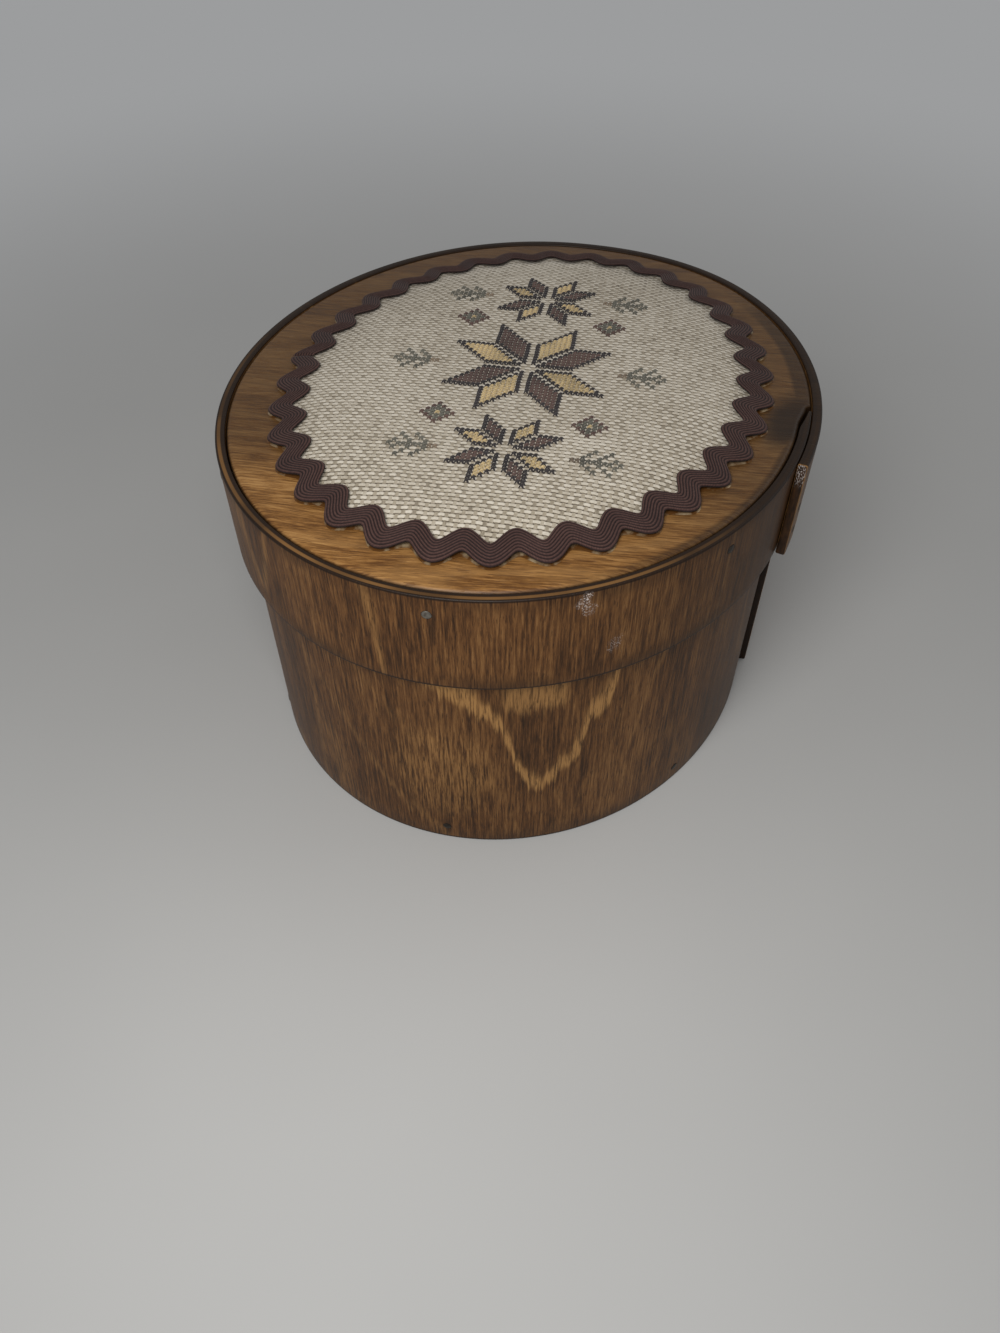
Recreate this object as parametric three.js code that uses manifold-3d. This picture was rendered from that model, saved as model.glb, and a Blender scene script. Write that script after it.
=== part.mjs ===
// An oval bentwood storage box with a lift-off lid.
// The base and the lid are each a thin wooden strip, bent round a board and lapped over itself.
// The lid carries a padded needlework panel that is edged with rick-rack braid.
// Millimetres and degrees, +Z up, origin at the middle of the underside, long axis along X.

import * as THREE from 'three';
import { mergeVertices } from 'three/addons/utils/BufferGeometryUtils.js';
import Module from 'manifold-3d';

const wasm = await Module();
wasm.setup();

// Box: the outer oval of the base where its strip is single, and the heights
const base_half_length = 94.4;
const base_half_width = 83.4;
const box_height = 109.2;
const lid_skirt_height = 32.1;

// Wood stock
const band_thickness = 2.8;
const band_ease = 0.5;
const board_thickness = 12;
const board_ease = 0.6;
const lid_board_edge_radius = 1.6;

// Fits: between lid and base, between the two layers of a lap, and between pieces that touch
const lid_slack = 0.8;
const glue_line = 0.25;
const fitting_gap = 0.3;

// Laps: where each strip ends, how far it runs on under itself, and how it comes back to the oval
const base_lap_start = 104;
const base_lap_span = 42;
const base_bulge_span = 44;
const lid_lap_span = 18.5;
const lap_clearance_angle = 1.5;
const bulge_fall_span = 40;
const feather_span = 6;
const feather_end_share = 0.3;
const board_relief_angle = 2;

// Brads that pin the boards, and short tacks that pin the laps
const brad_count = 7;
const brad_first_angle = 9;
const brad_length = 14;
const tack_length = 5.2;
const nail_radius = 0.7;
const nail_head_radius = 1.3;
const nail_head_thickness = 0.8;
const nail_tip_length = 1.6;
const nail_clearance = 0.2;
const tack_inset_angle = 3.5;
const base_tack_height_shares = [0.28, 0.56, 0.84];
const lid_tack_height_shares = [0.32, 0.72];

// Needlework panel
const panel_half_length = 81.5;
const panel_half_width = 67.6;
const panel_centre_x = -1.2;
const panel_centre_y = 2.1;
const cloth_thickness = 0.8;
const padding_crown = 3.4;
const padding_rim_height = 0.5;
const cloth_hem_width = 2.2;

// Rick-rack braid
const braid_wave_count = 34;
const braid_wave_depth = 4.6;
const braid_ribbon_width = 7.3;
const braid_thickness = 1.2;
const braid_edge_width = 0.6;
const braid_end_gap = 0.5;
const braid_join_angle = -77;

// Counts of facets
const band_stations = 112;
const board_points = 90;
const edge_round_steps = 3;
const nail_sides = 8;
const panel_points = 48;
const braid_stations_per_wave = 8;

// Worked out from the sizes above
const base_wall_height = box_height - board_thickness - fitting_gap;
const lid_rim_height = box_height - lid_skirt_height;
const lid_board_underside = box_height - board_thickness;
const lap_step = band_thickness + glue_line;
const base_bulge_end = base_lap_start + base_bulge_span;
const lid_lap_start = base_lap_start - lap_clearance_angle - lid_lap_span;

// A wrap is one bent strip: its outer face runs at stand_off from the base oval where it is single
const base_wrap = {
  start: base_lap_start,
  lap_span: base_lap_span,
  bulge_span: base_bulge_span,
  stand_off: 0,
};

const lid_wrap = {
  start: lid_lap_start,
  lap_span: lid_lap_span,
  bulge_span: base_bulge_end + lap_clearance_angle - lid_lap_start,
  stand_off: lid_slack + band_thickness,
};

// Point at an angle round the box, on the curve that runs at a stand-off from the base oval
function ovalPlace(angle, stand_off) {
  const radians = THREE.MathUtils.degToRad(angle);
  const turn = Math.atan2(Math.sin(radians) / base_half_width, Math.cos(radians) / base_half_length);
  const normal = ovalNormal(turn);
  const point = new THREE.Vector2(base_half_length * Math.cos(turn), base_half_width * Math.sin(turn));
  return { point: point.addScaledVector(normal, stand_off), normal };
}

function ovalNormal(turn) {
  return new THREE.Vector2(Math.cos(turn) / base_half_length, Math.sin(turn) / base_half_width).normalize();
}

function ovalPoint(angle, stand_off, height) {
  const { point } = ovalPlace(angle, stand_off);
  return new THREE.Vector3(point.x, point.y, height);
}

// The strip's outer end stands a lap step proud of the oval, stays so over the lap, and then falls back
function outerFace(wrap, run) {
  const fallen = THREE.MathUtils.smoothstep(run, wrap.bulge_span, wrap.bulge_span + bulge_fall_span);
  return wrap.stand_off + lap_step * (1 - fallen);
}

// The end that lies inside the lap is planed thin
function layerThickness(wrap, run) {
  const feather_start = 360 + wrap.lap_span - feather_span;
  const thinned = THREE.MathUtils.clamp((run - feather_start) / feather_span, 0, 1);
  return band_thickness * THREE.MathUtils.lerp(1, feather_end_share, thinned);
}

function runAt(wrap, angle) {
  return THREE.MathUtils.euclideanModulo(angle - wrap.start, 360);
}

function outerFaceAt(wrap, angle) {
  return outerFace(wrap, runAt(wrap, angle));
}

function innerFaceAt(wrap, angle) {
  const run = runAt(wrap, angle);
  const inner_run = run < wrap.lap_span ? run + 360 : run;
  return outerFace(wrap, inner_run) - layerThickness(wrap, inner_run);
}

// A closed surface over rings of equal count, with a fan from the middle of the first and last ring
function loft(rings) {
  const count = rings[0].length;
  const vertices = rings.flat();
  const triangles = [];
  for (let row = 0; row < rings.length - 1; row++) {
    for (let i = 0; i < count; i++) {
      const next = (i + 1) % count;
      const a = row * count + i;
      const b = row * count + next;
      triangles.push(a, b, a + count, b, b + count, a + count);
    }
  }
  addCap(vertices, triangles, 0, count, true);
  addCap(vertices, triangles, (rings.length - 1) * count, count, false);
  return outwardGeometry(vertices, triangles);
}

function addCap(vertices, triangles, first, count, flipped) {
  const middle = new THREE.Vector3();
  for (let i = 0; i < count; i++) middle.addScaledVector(vertices[first + i], 1 / count);
  const centre = vertices.push(middle) - 1;
  for (let i = 0; i < count; i++) {
    const a = first + i;
    const b = first + ((i + 1) % count);
    triangles.push(...(flipped ? [centre, b, a] : [centre, a, b]));
  }
}

// Indexed geometry whose faces point out of the solid
function outwardGeometry(vertices, triangles) {
  let volume = 0;
  for (let i = 0; i < triangles.length; i += 3) {
    const [a, b, c] = triangles.slice(i, i + 3).map((index) => vertices[index]);
    volume += a.dot(new THREE.Vector3().crossVectors(b, c));
  }
  const geometry = new THREE.BufferGeometry().setFromPoints(vertices);
  geometry.setIndex(volume < 0 ? triangles.slice().reverse() : triangles);
  return geometry;
}

function toManifold(geometry) {
  const bare = geometry.clone();
  bare.deleteAttribute('normal');
  bare.deleteAttribute('uv');
  const merged = mergeVertices(bare);
  return new wasm.Manifold(new wasm.Mesh({
    numProp: 3,
    vertProperties: new Float32Array(merged.attributes.position.array),
    triVerts: new Uint32Array(merged.index.array),
  }));
}

function toGeometry(solid) {
  const { vertProperties, triVerts } = solid.getMesh();
  const geometry = new THREE.BufferGeometry();
  geometry.setAttribute('position', new THREE.BufferAttribute(vertProperties, 3));
  geometry.setIndex(new THREE.BufferAttribute(triVerts, 1));
  return geometry;
}

function cutAway(geometry, cutters) {
  return toGeometry(cutters.map(toManifold).reduce((solid, cutter) => solid.subtract(cutter), toManifold(geometry)));
}

// Cross-section of a strip as stand-off and height, with eased arrises
function bandSection(inner, outer, bottom, top) {
  const ease = Math.min(band_ease, (outer - inner) / 3);
  return [
    [inner + ease, bottom],
    [outer - ease, bottom],
    [outer, bottom + ease],
    [outer, top - ease],
    [outer - ease, top],
    [inner + ease, top],
    [inner, top - ease],
    [inner, bottom + ease],
  ];
}

function bandGeometry(wrap, bottom, top) {
  const rings = [];
  for (let station = 0; station <= band_stations; station++) {
    const run = ((360 + wrap.lap_span) * station) / band_stations;
    const outer = outerFace(wrap, run);
    const inner = outer - layerThickness(wrap, run);
    const section = bandSection(inner, outer, bottom, top);
    rings.push(section.map(([stand_off, height]) => ovalPoint(wrap.start + run, stand_off, height)));
  }
  return loft(rings);
}

// The board's edge follows the strip's inner face and steps clear of the lap's thin end
function boardEdge(wrap, angle) {
  const nearby = [-1, -0.5, 0, 0.5, 1].map((share) => innerFaceAt(wrap, angle + share * board_relief_angle));
  return Math.min(...nearby) - fitting_gap;
}

function boardGeometry(wrap, profile) {
  const rings = profile.map(([inset, height]) => {
    const ring = [];
    for (let i = 0; i < board_points; i++) {
      const angle = (360 * i) / board_points;
      ring.push(ovalPoint(angle, boardEdge(wrap, angle) - inset, height));
    }
    return ring;
  });
  return loft(rings);
}

function baseBoardProfile() {
  return [
    [board_ease, 0],
    [0, board_ease],
    [0, board_thickness - board_ease],
    [board_ease, board_thickness],
  ];
}

// The lid board's upper edge is rounded over, which leaves a groove beside the strip
function lidBoardProfile() {
  const profile = [
    [board_ease, lid_board_underside],
    [0, lid_board_underside + board_ease],
  ];
  for (let step = 0; step <= edge_round_steps; step++) {
    const turn = (Math.PI / 2) * (step / edge_round_steps);
    const inset = lid_board_edge_radius * (1 - Math.cos(turn));
    const height = box_height - lid_board_edge_radius * (1 - Math.sin(turn));
    profile.push([inset, height]);
  }
  return profile;
}

// A nail points along -Y from a head whose top lies at the origin
function nailGeometry(length) {
  return new THREE.LatheGeometry([
    new THREE.Vector2(0, -length),
    new THREE.Vector2(nail_radius, nail_tip_length - length),
    new THREE.Vector2(nail_radius, -nail_head_thickness),
    new THREE.Vector2(nail_head_radius, -nail_head_thickness),
    new THREE.Vector2(nail_head_radius, 0),
    new THREE.Vector2(0, 0),
  ], nail_sides);
}

function nailHole(length) {
  const shank = nail_radius + nail_clearance;
  const head = nail_head_radius + nail_clearance;
  const head_seat = -nail_head_thickness - nail_clearance;
  return new THREE.LatheGeometry([
    new THREE.Vector2(0, -length - nail_clearance),
    new THREE.Vector2(shank, nail_tip_length - length),
    new THREE.Vector2(shank, head_seat),
    new THREE.Vector2(head, head_seat),
    new THREE.Vector2(head, lap_step),
    new THREE.Vector2(0, lap_step),
  ], nail_sides);
}

// Turns a nail to point into the box, with its head flush in the strip's outer face
function driveIn(geometry, wrap, { angle, height }) {
  const { point, normal } = ovalPlace(angle, outerFaceAt(wrap, angle));
  const outward = new THREE.Vector3(normal.x, normal.y, 0);
  const up = new THREE.Vector3(0, 0, 1);
  const along = new THREE.Vector3().crossVectors(outward, up);
  const placement = new THREE.Matrix4().makeBasis(along, outward, up);
  placement.setPosition(point.x, point.y, height);
  return geometry.applyMatrix4(placement);
}

function bradSpots(height) {
  return Array.from({ length: brad_count }, (_, i) => ({
    angle: brad_first_angle + (360 * i) / brad_count,
    height,
  }));
}

function tackSpots(wrap, bottom, top, height_shares) {
  return height_shares.map((share) => ({
    angle: wrap.start + tack_inset_angle,
    height: THREE.MathUtils.lerp(bottom, top, share),
  }));
}

const base_brad_spots = bradSpots(board_thickness / 2);
const lid_brad_spots = bradSpots(box_height - board_thickness / 2);
const base_tack_spots = tackSpots(base_wrap, 0, lid_rim_height, base_tack_height_shares);
const lid_tack_spots = tackSpots(lid_wrap, lid_rim_height, lid_board_underside, lid_tack_height_shares);

function nails(name, wrap, spots, length) {
  return spots.map((spot, i) => piece(`${name}_${i + 1}`, driveIn(nailGeometry(length), wrap, spot), steel()));
}

function nailHoles(wrap, spots, length) {
  return spots.map((spot) => driveIn(nailHole(length), wrap, spot));
}

// Panel: rings are ovals about the panel's centre, from its middle, 0, to its edge, 1
function panelRing(share, height) {
  return Array.from({ length: panel_points }, (_, i) => {
    const turn = (2 * Math.PI * i) / panel_points;
    return new THREE.Vector3(
      panel_centre_x + share * panel_half_length * Math.cos(turn),
      panel_centre_y + share * panel_half_width * Math.sin(turn),
      height,
    );
  });
}

// The pad is nearly flat in the middle and draws down quickly to the hem
const crown_power = 6;
const hem_share = 1 - cloth_hem_width / panel_half_width;
const cloth_lift = padding_crown + fitting_gap;
const padding_edge_share = hem_share * (1 - (padding_rim_height + fitting_gap) / cloth_lift) ** (1 / crown_power);
const crown_row_shares = [0.25, 0.45, 0.6, 0.72, 0.82, 0.9];

function clothUnderside(share) {
  const drop = Math.min(1, (share / hem_share) ** crown_power);
  return box_height + fitting_gap + cloth_lift * (1 - drop);
}

function paddingGeometry() {
  const rows = crown_row_shares.filter((share) => share < padding_edge_share).concat(padding_edge_share);
  const top = rows.map((share) => panelRing(share, clothUnderside(share) - fitting_gap));
  const underside = [padding_edge_share, rows[0]].map((share) => panelRing(share, box_height + fitting_gap));
  return loft([...top, ...underside]);
}

function clothGeometry() {
  const rows = [...crown_row_shares, padding_edge_share, hem_share, 1].sort((a, b) => a - b);
  const top = rows.map((share) => panelRing(share, clothUnderside(share) + cloth_thickness));
  const underside = rows.reverse().map((share) => panelRing(share, clothUnderside(share)));
  return loft([...top, ...underside]);
}

// Braid: its reach is how far the wave crests stand from the cloth's edge on either side
const braid_reach = (braid_ribbon_width + braid_wave_depth) / 2;

// The braid leans: its outer crests lie on the board and its inner crests lie up on the cloth
function braidLean() {
  const steps = panel_points;
  const slopes = [];
  for (let step = 0; step <= steps; step++) {
    const inward = (braid_reach * step) / steps;
    const cloth_top = clothUnderside(1 - inward / panel_half_width) + cloth_thickness;
    slopes.push((cloth_top - box_height) / (braid_reach + inward));
  }
  return Math.max(...slopes);
}

const braid_lean = braidLean();

function braidUnderside(outward) {
  return box_height + fitting_gap + braid_lean * (braid_reach - outward);
}

// Round lobes and sharp valleys, as on woven rick-rack; phase 0 is an outer crest
function braidEdges(phase) {
  const outer_lobe = 2 * Math.abs(Math.cos(phase / 2)) - 1;
  const inner_lobe = 2 * Math.abs(Math.sin(phase / 2)) - 1;
  const outer = (braid_ribbon_width + braid_wave_depth * outer_lobe) / 2;
  const inner = -(braid_ribbon_width + braid_wave_depth * inner_lobe) / 2;
  return { outer, inner };
}

function braidSection(outer, inner) {
  const outer_flat = outer - braid_edge_width;
  const inner_flat = inner + braid_edge_width;
  return [
    [outer_flat, braidUnderside(outer_flat)],
    [outer, braidUnderside(outer) + braid_thickness / 2],
    [outer_flat, braidUnderside(outer_flat) + braid_thickness],
    [inner_flat, braidUnderside(inner_flat) + braid_thickness],
    [inner, braidUnderside(inner) + braid_thickness / 2],
    [inner_flat, braidUnderside(inner_flat)],
  ];
}

function braidGeometry() {
  const path = new THREE.EllipseCurve(
    panel_centre_x,
    panel_centre_y,
    panel_half_length,
    panel_half_width,
    THREE.MathUtils.degToRad(braid_join_angle),
    THREE.MathUtils.degToRad(braid_join_angle + 360),
  );
  const covered_share = 1 - braid_end_gap / path.getLength();
  const stations = braid_wave_count * braid_stations_per_wave;
  const rings = [];
  for (let station = 0; station <= stations; station++) {
    const along = station / stations;
    const middle = path.getPointAt(along * covered_share);
    const tangent = path.getTangentAt(along * covered_share);
    const { outer, inner } = braidEdges(2 * Math.PI * braid_wave_count * along);
    rings.push(braidSection(outer, inner).map(([outward, height]) => new THREE.Vector3(
      middle.x + tangent.y * outward,
      middle.y - tangent.x * outward,
      height,
    )));
  }
  return loft(rings);
}

// Materials
function stainedWood(color) {
  return new THREE.MeshStandardMaterial({ color, roughness: 0.55, metalness: 0 });
}

function bandWood() {
  return stainedWood(0x6b4a2c);
}

function boardWood() {
  return stainedWood(0x8a6236);
}

function steel() {
  return new THREE.MeshStandardMaterial({ color: 0x8f8f8c, roughness: 0.4, metalness: 0.9 });
}

function fabric(color) {
  return new THREE.MeshStandardMaterial({ color, roughness: 0.95, metalness: 0 });
}

function piece(name, geometry, material) {
  const mesh = new THREE.Mesh(geometry, material);
  mesh.name = name;
  return mesh;
}

function baseAssembly() {
  const band = cutAway(bandGeometry(base_wrap, 0, base_wall_height), [
    ...nailHoles(base_wrap, base_brad_spots, brad_length),
    ...nailHoles(base_wrap, base_tack_spots, tack_length),
  ]);
  const board = cutAway(
    boardGeometry(base_wrap, baseBoardProfile()),
    nailHoles(base_wrap, base_brad_spots, brad_length),
  );
  const base = new THREE.Group();
  base.add(
    piece('base_band', band, bandWood()),
    piece('base_board', board, boardWood()),
    ...nails('base_brad', base_wrap, base_brad_spots, brad_length),
    ...nails('base_lap_tack', base_wrap, base_tack_spots, tack_length),
  );
  return base;
}

function lidAssembly() {
  const band = cutAway(bandGeometry(lid_wrap, lid_rim_height, box_height), [
    ...nailHoles(lid_wrap, lid_brad_spots, brad_length),
    ...nailHoles(lid_wrap, lid_tack_spots, tack_length),
  ]);
  const board = cutAway(
    boardGeometry(lid_wrap, lidBoardProfile()),
    nailHoles(lid_wrap, lid_brad_spots, brad_length),
  );
  const lid = new THREE.Group();
  lid.add(
    piece('lid_band', band, bandWood()),
    piece('lid_board', board, boardWood()),
    ...nails('lid_brad', lid_wrap, lid_brad_spots, brad_length),
    ...nails('lid_lap_tack', lid_wrap, lid_tack_spots, tack_length),
    piece('panel_padding', paddingGeometry(), fabric(0xf0ece2)),
    piece('needlework_cloth', clothGeometry(), fabric(0xd6cab4)),
    piece('rick_rack_braid', braidGeometry(), fabric(0x3e2b2d)),
  );
  return lid;
}

const box = new THREE.Group();
box.add(baseAssembly(), lidAssembly());

export default box;
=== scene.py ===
"""Looks of an oval bentwood storage box with a lift-off lid and a padded needlework panel.

The strips, boards, nails, wadding, cloth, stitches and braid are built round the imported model, in metres.
"""

import math
from itertools import product

import bmesh
import bpy
import numpy as np
from bpy.props import FloatProperty, FloatVectorProperty, IntProperty, PointerProperty
from mathutils import Matrix, Vector


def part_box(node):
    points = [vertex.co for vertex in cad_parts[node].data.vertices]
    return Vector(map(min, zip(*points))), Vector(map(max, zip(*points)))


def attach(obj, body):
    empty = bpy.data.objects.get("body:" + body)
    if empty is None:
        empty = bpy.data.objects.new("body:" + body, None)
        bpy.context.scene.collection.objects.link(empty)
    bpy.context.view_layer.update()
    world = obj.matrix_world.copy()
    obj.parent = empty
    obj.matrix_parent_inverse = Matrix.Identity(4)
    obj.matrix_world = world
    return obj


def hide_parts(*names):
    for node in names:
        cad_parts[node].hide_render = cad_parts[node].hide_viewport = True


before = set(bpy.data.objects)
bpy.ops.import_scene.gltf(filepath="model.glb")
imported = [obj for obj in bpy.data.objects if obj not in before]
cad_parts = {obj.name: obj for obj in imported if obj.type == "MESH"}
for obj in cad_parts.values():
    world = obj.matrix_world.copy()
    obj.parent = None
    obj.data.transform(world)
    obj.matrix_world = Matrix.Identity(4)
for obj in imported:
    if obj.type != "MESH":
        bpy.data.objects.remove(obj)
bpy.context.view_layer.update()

bl_info = {
    "name": "Oval Bentwood Box",
    "version": (1, 0, 0),
    "blender": (4, 5, 0),
    "location": "3D View > Sidebar > Bentwood Box",
    "description": "Builds the finish of an oval bentwood box with a needlework lid",
    "category": "Object",
}

MM = 0.001

BASE_LOW, BASE_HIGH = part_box("base_band")
LID_LOW, LID_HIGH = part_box("lid_band")
_, BOTTOM_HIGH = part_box("base_board")
TOP_LOW, TOP_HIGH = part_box("lid_board")
CLOTH_LOW, CLOTH_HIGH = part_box("needlework_cloth")
PADDING_LOW, PADDING_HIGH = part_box("panel_padding")


def linear(red, green, blue):
    """The linear colour of a colour written as it shows on a screen, from 0 to 255."""
    shares = (red / 255, green / 255, blue / 255)
    return tuple(s / 12.92 if s <= 0.04045 else ((s + 0.055) / 1.055) ** 2.4 for s in shares)


def length(name, description, default):
    """A size in metres that a user may change."""
    return FloatProperty(name=name, description=description, default=default, unit="LENGTH", precision=5)


def degrees(name, description, default):
    """An angle round the box that a user may change."""
    return FloatProperty(name=name, description=description + ", in degrees", default=default, precision=1)


def colour(name, description, red, green, blue):
    """A colour that a user may change, given as it shows on a screen."""
    return FloatVectorProperty(
        name=name, description=description, default=linear(red, green, blue), subtype="COLOR", min=0, max=1
    )


class BoxShape(bpy.types.PropertyGroup):
    half_length: length("Half length", "Half the base's oval along X, where its strip is single", BASE_HIGH.x)
    half_width: length("Half width", "Half the base's oval along Y, where its strip is single", -BASE_LOW.y)
    wall_height: length("Wall height", "Height of the base's strip", BASE_HIGH.z)
    rim_height: length("Rim height", "Height of the lid's lower edge", LID_LOW.z)
    box_height: length("Box height", "Height of the lid's wood", LID_HIGH.z)
    board_thickness: length("Board thickness", "Thickness of both boards", BOTTOM_HIGH.z)
    lid_stand_off: length("Lid stand-off", "From the base's oval to the lid's", LID_HIGH.x - BASE_HIGH.x)
    strip_thickness: length("Strip thickness", "Thickness of the bent wood", 2.8 * MM)
    strip_ease: length("Strip ease", "Radius of the strips' arrises", 0.5 * MM)
    board_ease: length("Board ease", "Radius of the boards' lower arrises", 0.6 * MM)
    groove_radius: length("Groove radius", "Radius of the lid board's upper edge", 1.6 * MM)
    glue_line: length("Glue line", "Between the two layers of a lap", 0.25 * MM)
    fitting_gap: length("Fitting gap", "Between pieces that touch", 0.3 * MM)
    base_lap_start: degrees("Base lap start", "Angle of the base strip's outer end", 104)
    base_lap_span: degrees("Base lap span", "How far the base strip laps itself", 42)
    base_bulge_span: degrees("Base bulge span", "How far the base strip stays proud", 44)
    lid_lap_start: degrees("Lid lap start", "Angle of the lid strip's outer end", 84)
    lid_lap_span: degrees("Lid lap span", "How far the lid strip laps itself", 18.5)
    lid_bulge_span: degrees("Lid bulge span", "How far the lid strip stays proud", 65.5)
    bulge_fall_span: degrees("Bulge fall span", "How far a strip takes to come back to the oval", 40)
    feather_span: degrees("Feather span", "How far the planed inner end runs", 6)
    relief_angle: degrees("Relief angle", "How far a board keeps clear of a lap's step", 2)


class NailShape(bpy.types.PropertyGroup):
    head_radius: length("Head radius", "Radius of a nail's head", 1.3 * MM)
    head_thickness: length("Head thickness", "Thickness of a nail's head at its rim", 0.6 * MM)
    head_dome: length("Head dome", "Height of the middle of a head over its rim", 0.2 * MM)
    shank_radius: length("Shank radius", "Radius of a nail's shank", 0.7 * MM)
    tip_length: length("Tip length", "Length of a nail's point", 1.6 * MM)
    clearance: length("Clearance", "Room round a nail in the wood", 0.12 * MM)
    brad_length: length("Brad length", "Length of the brads in the boards", 14 * MM)
    tack_length: length("Tack length", "Length of the tacks in the laps", 5.2 * MM)
    brad_count: IntProperty(name="Brads", description="Brads in each board", default=7)
    brad_first_angle: degrees("First brad", "Angle of the first brad", 9)
    tack_inset_angle: degrees("Tack inset", "From a strip's outer end to its tacks", 3.5)


class PanelShape(bpy.types.PropertyGroup):
    cloth_thickness: length("Cloth thickness", "Thickness of the evenweave", 0.5 * MM)
    hem_width: length("Hem width", "Flat border of the cloth", 2.2 * MM)
    crown: length("Crown", "How far the padding lifts the cloth", PADDING_HIGH.z - LID_HIGH.z)
    thread_pitch: length("Thread pitch", "From thread to thread of the evenweave", 1.45 * MM)
    relief: length("Relief", "How far a float stands over the holes", 0.42 * MM)
    weave_turn: degrees("Weave turn", "Angle of the threads to the oval's long axis", 13)


class BraidShape(bpy.types.PropertyGroup):
    waves: IntProperty(name="Waves", description="Waves round the panel", default=34)
    depth: length("Wave depth", "From an inner crest line to an outer one", 4.6 * MM)
    width: length("Ribbon width", "Width of the woven ribbon", 7.3 * MM)
    thickness: length("Thickness", "Thickness of the ribbon", 1.2 * MM)
    ribs: IntProperty(name="Ribs", description="Woven ribs across the ribbon", default=8)
    rib_height: length("Rib height", "Height of a rib", 0.2 * MM)
    glue_width: length("Glue width", "Glue that shows beside the ribbon", 0.25 * MM)
    join_angle: degrees("Join angle", "Where the ribbon's ends meet", -77)


class BoxColours(bpy.types.PropertyGroup):
    # Also the colour of the painted shade near the strips' laps.
    strip_dark_and_shade: colour("Strip dark", "Darkest fibres of the strips", 47, 29, 13)
    strip_brown: colour("Strip brown", "Body colour of the strips", 83, 53, 27)
    strip_warm: colour("Strip warm", "Warm fibres of the strips", 110, 74, 40)
    strip_light: colour("Strip light", "Light fibres of the strips", 139, 101, 60)
    strip_gold: colour("Strip gold", "Figure lines of the strips", 172, 128, 76)
    rim_gold: colour("Rim gold", "Bare upper edge of the strips", 134, 96, 54)
    scuff: colour("Scuff", "Broken varnish and dried glue", 218, 208, 202)
    board_dark: colour("Board dark", "Dark lines of the boards", 94, 60, 27)
    board_brown: colour("Board brown", "Body colour of the boards", 139, 97, 50)
    board_light: colour("Board light", "Light lines of the boards", 174, 131, 79)
    # Painted shade of the boards away from their lit front, where the light falls off.
    board_painted_shade: colour("Board stain", "Stain of the boards away from the rubbed front", 64, 48, 32)
    # Also the colour of painted shade on the strips' outer ends, along their lower edges and under the lid's
    # edge.
    edge_stain_and_shade: colour("Edge stain", "Stain that gathered in grooves and on arrises", 30, 20, 13)
    cloth: colour("Cloth", "Bright floats of the cream evenweave", 216, 207, 191)
    # Painted shade of the sunken threads, which are the same cream thread as the floats.
    cloth_painted_shade: colour("Cloth shade", "Sunken threads of the evenweave", 170, 158, 138)
    cloth_hole: colour("Cloth holes", "Shadow between the threads", 70, 60, 47)
    padding: colour("Padding", "White wadding", 236, 233, 226)
    braid: colour("Braid", "Rick-rack ribs", 58, 37, 34)
    # Painted shade between the ribs.
    braid_painted_shade: colour("Braid shade", "Between the ribs", 24, 15, 13)
    glue: colour("Glue", "Dried glue beside the braid", 162, 142, 112)
    nail: colour("Nail", "Steel of the nails", 128, 123, 115)
    yarn_black: colour("Black yarn", "Outlines", 40, 33, 33)
    yarn_brown: colour("Brown yarn", "Dark fillings", 88, 66, 58)
    yarn_tan: colour("Tan yarn", "Light fillings", 190, 167, 122)
    yarn_taupe: colour("Taupe yarn", "Sprigs and borders", 122, 106, 88)
    yarn_grey: colour("Grey-green yarn", "Leaves", 96, 93, 82)


class Studio(bpy.types.PropertyGroup):
    floor: colour("Floor", "Pale plain floor", 192, 191, 188)
    backdrop: colour("Backdrop", "What the floor fades into far from the box", 156, 157, 158)
    key_power: FloatProperty(name="Key light", description="Power of the key light in watts", default=3.3)
    fill_power: FloatProperty(name="Fill light", description="Power of the fill light in watts", default=3.4)
    world_strength: FloatProperty(name="World", description="Strength of the surroundings", default=0.28)


def shape():
    return bpy.context.scene.bentwood_shape


def nail_shape():
    return bpy.context.scene.bentwood_nails


def panel_shape():
    return bpy.context.scene.bentwood_panel


def braid_shape():
    return bpy.context.scene.bentwood_braid


def colours():
    return bpy.context.scene.bentwood_colours


def studio():
    return bpy.context.scene.bentwood_studio


# Node trees


class Field:
    """One output in a node tree. Arithmetic on fields adds Math nodes, so that formulas read as formulas."""

    def __init__(self, tree, socket):
        self.tree = tree
        self.socket = socket

    def math(self, operation, *others):
        """A Math node over this field and the others."""
        node = self.tree.nodes.new("ShaderNodeMath")
        node.operation = operation
        for socket, value in zip(node.inputs, (self, *others)):
            connect(self.tree, socket, value)
        return Field(self.tree, node.outputs[0])

    def __add__(self, other):
        return self.math("ADD", other)

    def __radd__(self, other):
        return self.math("ADD", other)

    def __sub__(self, other):
        return self.math("SUBTRACT", other)

    def __rsub__(self, other):
        return self.math("MULTIPLY_ADD", -1, other)

    def __mul__(self, other):
        return self.math("MULTIPLY", other)

    def __rmul__(self, other):
        return self.math("MULTIPLY", other)

    def __truediv__(self, other):
        return self.math("DIVIDE", other)

    def __abs__(self):
        return self.math("ABSOLUTE")

    def step(self, low, high):
        """0 up to low, 1 from high on, and smooth between; it falls where high is the lower of the two."""
        settings = {"interpolation_type": "SMOOTHSTEP"}
        if low < high:
            return field(self.tree, "ShaderNodeMapRange", {0: self, 1: low, 2: high}, **settings)
        return field(self.tree, "ShaderNodeMapRange", {0: self, 1: high, 2: low, 3: 1, 4: 0}, **settings)


def connect(tree, socket, value):
    """Links a field to a socket, or sets the socket to a plain value."""
    if isinstance(value, Field):
        tree.links.new(value.socket, socket)
    else:
        socket.default_value = value


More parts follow.
